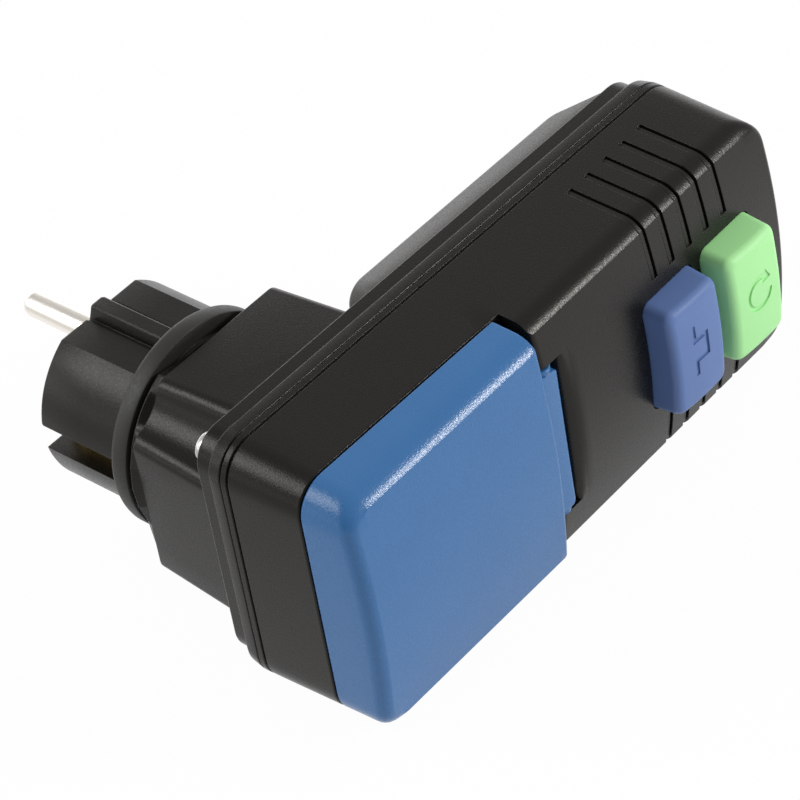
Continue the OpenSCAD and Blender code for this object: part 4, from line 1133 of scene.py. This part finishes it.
dress(front_shell, "housing", "shell", black_abs, "front_shell", angle=SHELL_CREASE)
dress(rear_cover, "housing", "shell", black_abs, "rear_cover", angle=SHELL_CREASE)
dress(cover_screws, "housing", "steel", zinc, "cover_screws")
dress(plug_body, "housing", "shell", plug_abs, "plug_body", angle=SHELL_CREASE)
for pin_node, pin in pins.items():
    dress(pin, "housing", "pin_nickel", nickel, pin_node)
dress(seal_ring, "housing", "seal_rubber", rubber, "plug_seal_ring")
dress(housing_seal, "housing", "seal_rubber", rubber, "housing_seal")
dress(lid, "lid", "lid_blue", blue_abs, "lid", angle=SHELL_CREASE)
dress(lid_seal, "lid", "seal_rubber", rubber, "lid_seal")
dress(test_button, "test_button", "test_blue", violet_pp, "test_button")
dress(reset_button, "reset_button", "reset_green", green_pp, "reset_button")
dress(test_spring, "housing", "steel", zinc, "test_spring")
dress(reset_springs, "housing", "steel", zinc, "reset_springs")
dress(lid_spring, "housing", "steel", zinc, "lid_spring")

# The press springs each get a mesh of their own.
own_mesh(test_spring)
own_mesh(reset_springs)
dress(trip_winding, "housing", "winding", enamel, "trip_coil")
dress(transformer_winding, "housing", "winding", enamel, "transformer_winding")

# CAD solids that still show take the finish of their slot.
SLOT_FINISH = {"shell": black_abs, "steel": zinc, "contact_brass": brass, "copper": copper,
               "well_black": black_pa, "board_green": board, "component_blue": epoxy, "core_iron": iron,
               "carrier_cream": cream_pa, "seal_rubber": rubber, "pin_nickel": nickel, "winding": enamel,
               "lid_blue": blue_abs, "test_blue": violet_pp, "reset_green": green_pp}
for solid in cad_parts.values():
    for place in solid.material_slots:
        finish = place.material.name.split(".")[0] if place.material else None
        if finish in SLOT_FINISH:
            place.material = SLOT_FINISH[finish]

# Pale floor that stays white to the eye and in reflections, and keeps a faint shadow.
FLOOR_HALF = 3.0
PAPER_SHARE = 0.97
PAPER_MATT = (0.9, 0.9, 0.9, 1.0)
WHITE = (1.0, 1.0, 1.0, 1.0)
NEAR_DIM = (-0.1, -0.055, 0.68, 1.0)
FAR_BRIGHT = (0.03, 0.1, 1.0, 1.35)
floor = put("floor", bpy.data.meshes.new("floor"))
floor.data.from_pydata([(-FLOOR_HALF, -FLOOR_HALF, 0), (FLOOR_HALF, -FLOOR_HALF, 0),
                        (FLOOR_HALF, FLOOR_HALF, 0), (-FLOOR_HALF, FLOOR_HALF, 0)], [], [(0, 1, 2, 3)])
paper, paper_tree = new_material("white_paper_sweep")
rays = node(paper_tree, "ShaderNodeLightPath")
seen = node(paper_tree, "ShaderNodeMath", {
    0: rays.outputs["Is Camera Ray"], 1: rays.outputs["Is Glossy Ray"]}, operation="MAXIMUM")
seen = node(paper_tree, "ShaderNodeMath", {
    0: seen.outputs[0], 1: rays.outputs["Is Transmission Ray"]}, operation="MAXIMUM")
share = node(paper_tree, "ShaderNodeMath", {0: seen.outputs[0], 1: PAPER_SHARE}, operation="MULTIPLY")
matt = node(paper_tree, "ShaderNodeBsdfDiffuse", {"Color": PAPER_MATT})
# In reflections the paper is dimmer beside the near end and brighter beyond the buttons.
spot = node(paper_tree, "ShaderNodeNewGeometry").outputs["Position"]
spot = node(paper_tree, "ShaderNodeSeparateXYZ", {"Vector": spot}).outputs["X"]
dimmer = node(paper_tree, "ShaderNodeMapRange", {"Value": spot, **limits(*NEAR_DIM)})
brighter = node(paper_tree, "ShaderNodeMapRange", {"Value": spot, **limits(*FAR_BRIGHT)})
mirrored = node(paper_tree, "ShaderNodeMath", {0: dimmer.outputs["Result"], 1: brighter.outputs["Result"]},
                operation="MULTIPLY")
paper_glow = node(paper_tree, "ShaderNodeMix", {
    0: rays.outputs["Is Camera Ray"], 2: mirrored.outputs[0], 3: 1.0}, data_type="FLOAT")
white = node(paper_tree, "ShaderNodeEmission", {"Color": WHITE, "Strength": paper_glow.outputs[0]})
blend = node(paper_tree, "ShaderNodeMixShader", {
    0: share.outputs[0], 1: matt.outputs["BSDF"], 2: white.outputs["Emission"]})
node(paper_tree, "ShaderNodeOutputMaterial", {"Surface": blend.outputs["Shader"]})
floor.data.materials.append(paper)

# World: a dim white room, darker to the left, with a bright backdrop low down behind the object.
LOW_BAND = (0.02, 0.36, 1.0, 0.0)
BACKDROP = (0.2, 0.7, 0.0, 2.1)
ROOM = (-0.8, 0.8, 0.23, 0.72)
world = bpy.data.worlds.new("studio")
bpy.context.scene.world = world
world.use_nodes = True
world.node_tree.nodes.clear()
sky = world.node_tree
up = node(sky, "ShaderNodeSeparateXYZ", {"Vector": node(sky, "ShaderNodeTexCoord").outputs["Generated"]})
low = node(sky, "ShaderNodeMapRange", {"Value": up.outputs["Z"], **limits(*LOW_BAND)})
behind = node(sky, "ShaderNodeMapRange", {"Value": up.outputs["Y"], **limits(*BACKDROP)})
room = node(sky, "ShaderNodeMapRange", {"Value": up.outputs["X"], **limits(*ROOM)})
glowing = node(sky, "ShaderNodeMath", {
    0: low.outputs["Result"], 1: behind.outputs["Result"], 2: room.outputs["Result"]},
    operation="MULTIPLY_ADD")
glow = node(sky, "ShaderNodeBackground", {"Color": WHITE, "Strength": glowing.outputs[0]})
node(sky, "ShaderNodeOutputWorld", {"Surface": glow.outputs["Background"]})

# Lamps: small key from the front right and a broad soft panel behind on the left.
LAMP_DISTANCE = 0.95
KEY_FROM, KEY_SIDE, KEY_RADIANCE = (0.5155, -0.737, 0.4376), 0.17, 45.0
PANEL_FROM, PANEL_SIDE, PANEL_RADIANCE = (-0.55, 0.55, 0.62), 0.46, 5.5


def lamp(name, direction, side, radiance):
    """Square lamp that looks at the middle of the part."""
    made = bpy.data.lights.new(name, "AREA")
    made.shape = "RECTANGLE"
    made.size = made.size_y = side
    made.energy = radiance * math.pi * side * side
    holder = put(name, made)
    toward = Vector(direction).normalized()
    holder.location = Vector((0.0, 0.0, mid_z)) + toward * LAMP_DISTANCE
    holder.rotation_euler = toward.to_track_quat("Z", "Y").to_euler()


lamp("key", KEY_FROM, KEY_SIDE, KEY_RADIANCE)
lamp("side", PANEL_FROM, PANEL_SIDE, PANEL_RADIANCE)

# Camera at the photograph's viewing angle.
CAMERA_AT = (-362.497, 446.53, 485.149)
CAMERA_TURN = (48.9934, 7.9033, -49.5299)
CAMERA_LENS = 192.68
CAMERA_SENSOR = 36.0
camera = put("camera", bpy.data.cameras.new("camera"))
camera.location = at(*CAMERA_AT)
camera.rotation_euler = [math.radians(t) for t in CAMERA_TURN]
camera.data.lens = CAMERA_LENS
camera.data.sensor_width = CAMERA_SENSOR
camera.data.clip_start = 0.01
bpy.context.scene.camera = camera
bpy.context.scene.view_settings.view_transform = "Standard"
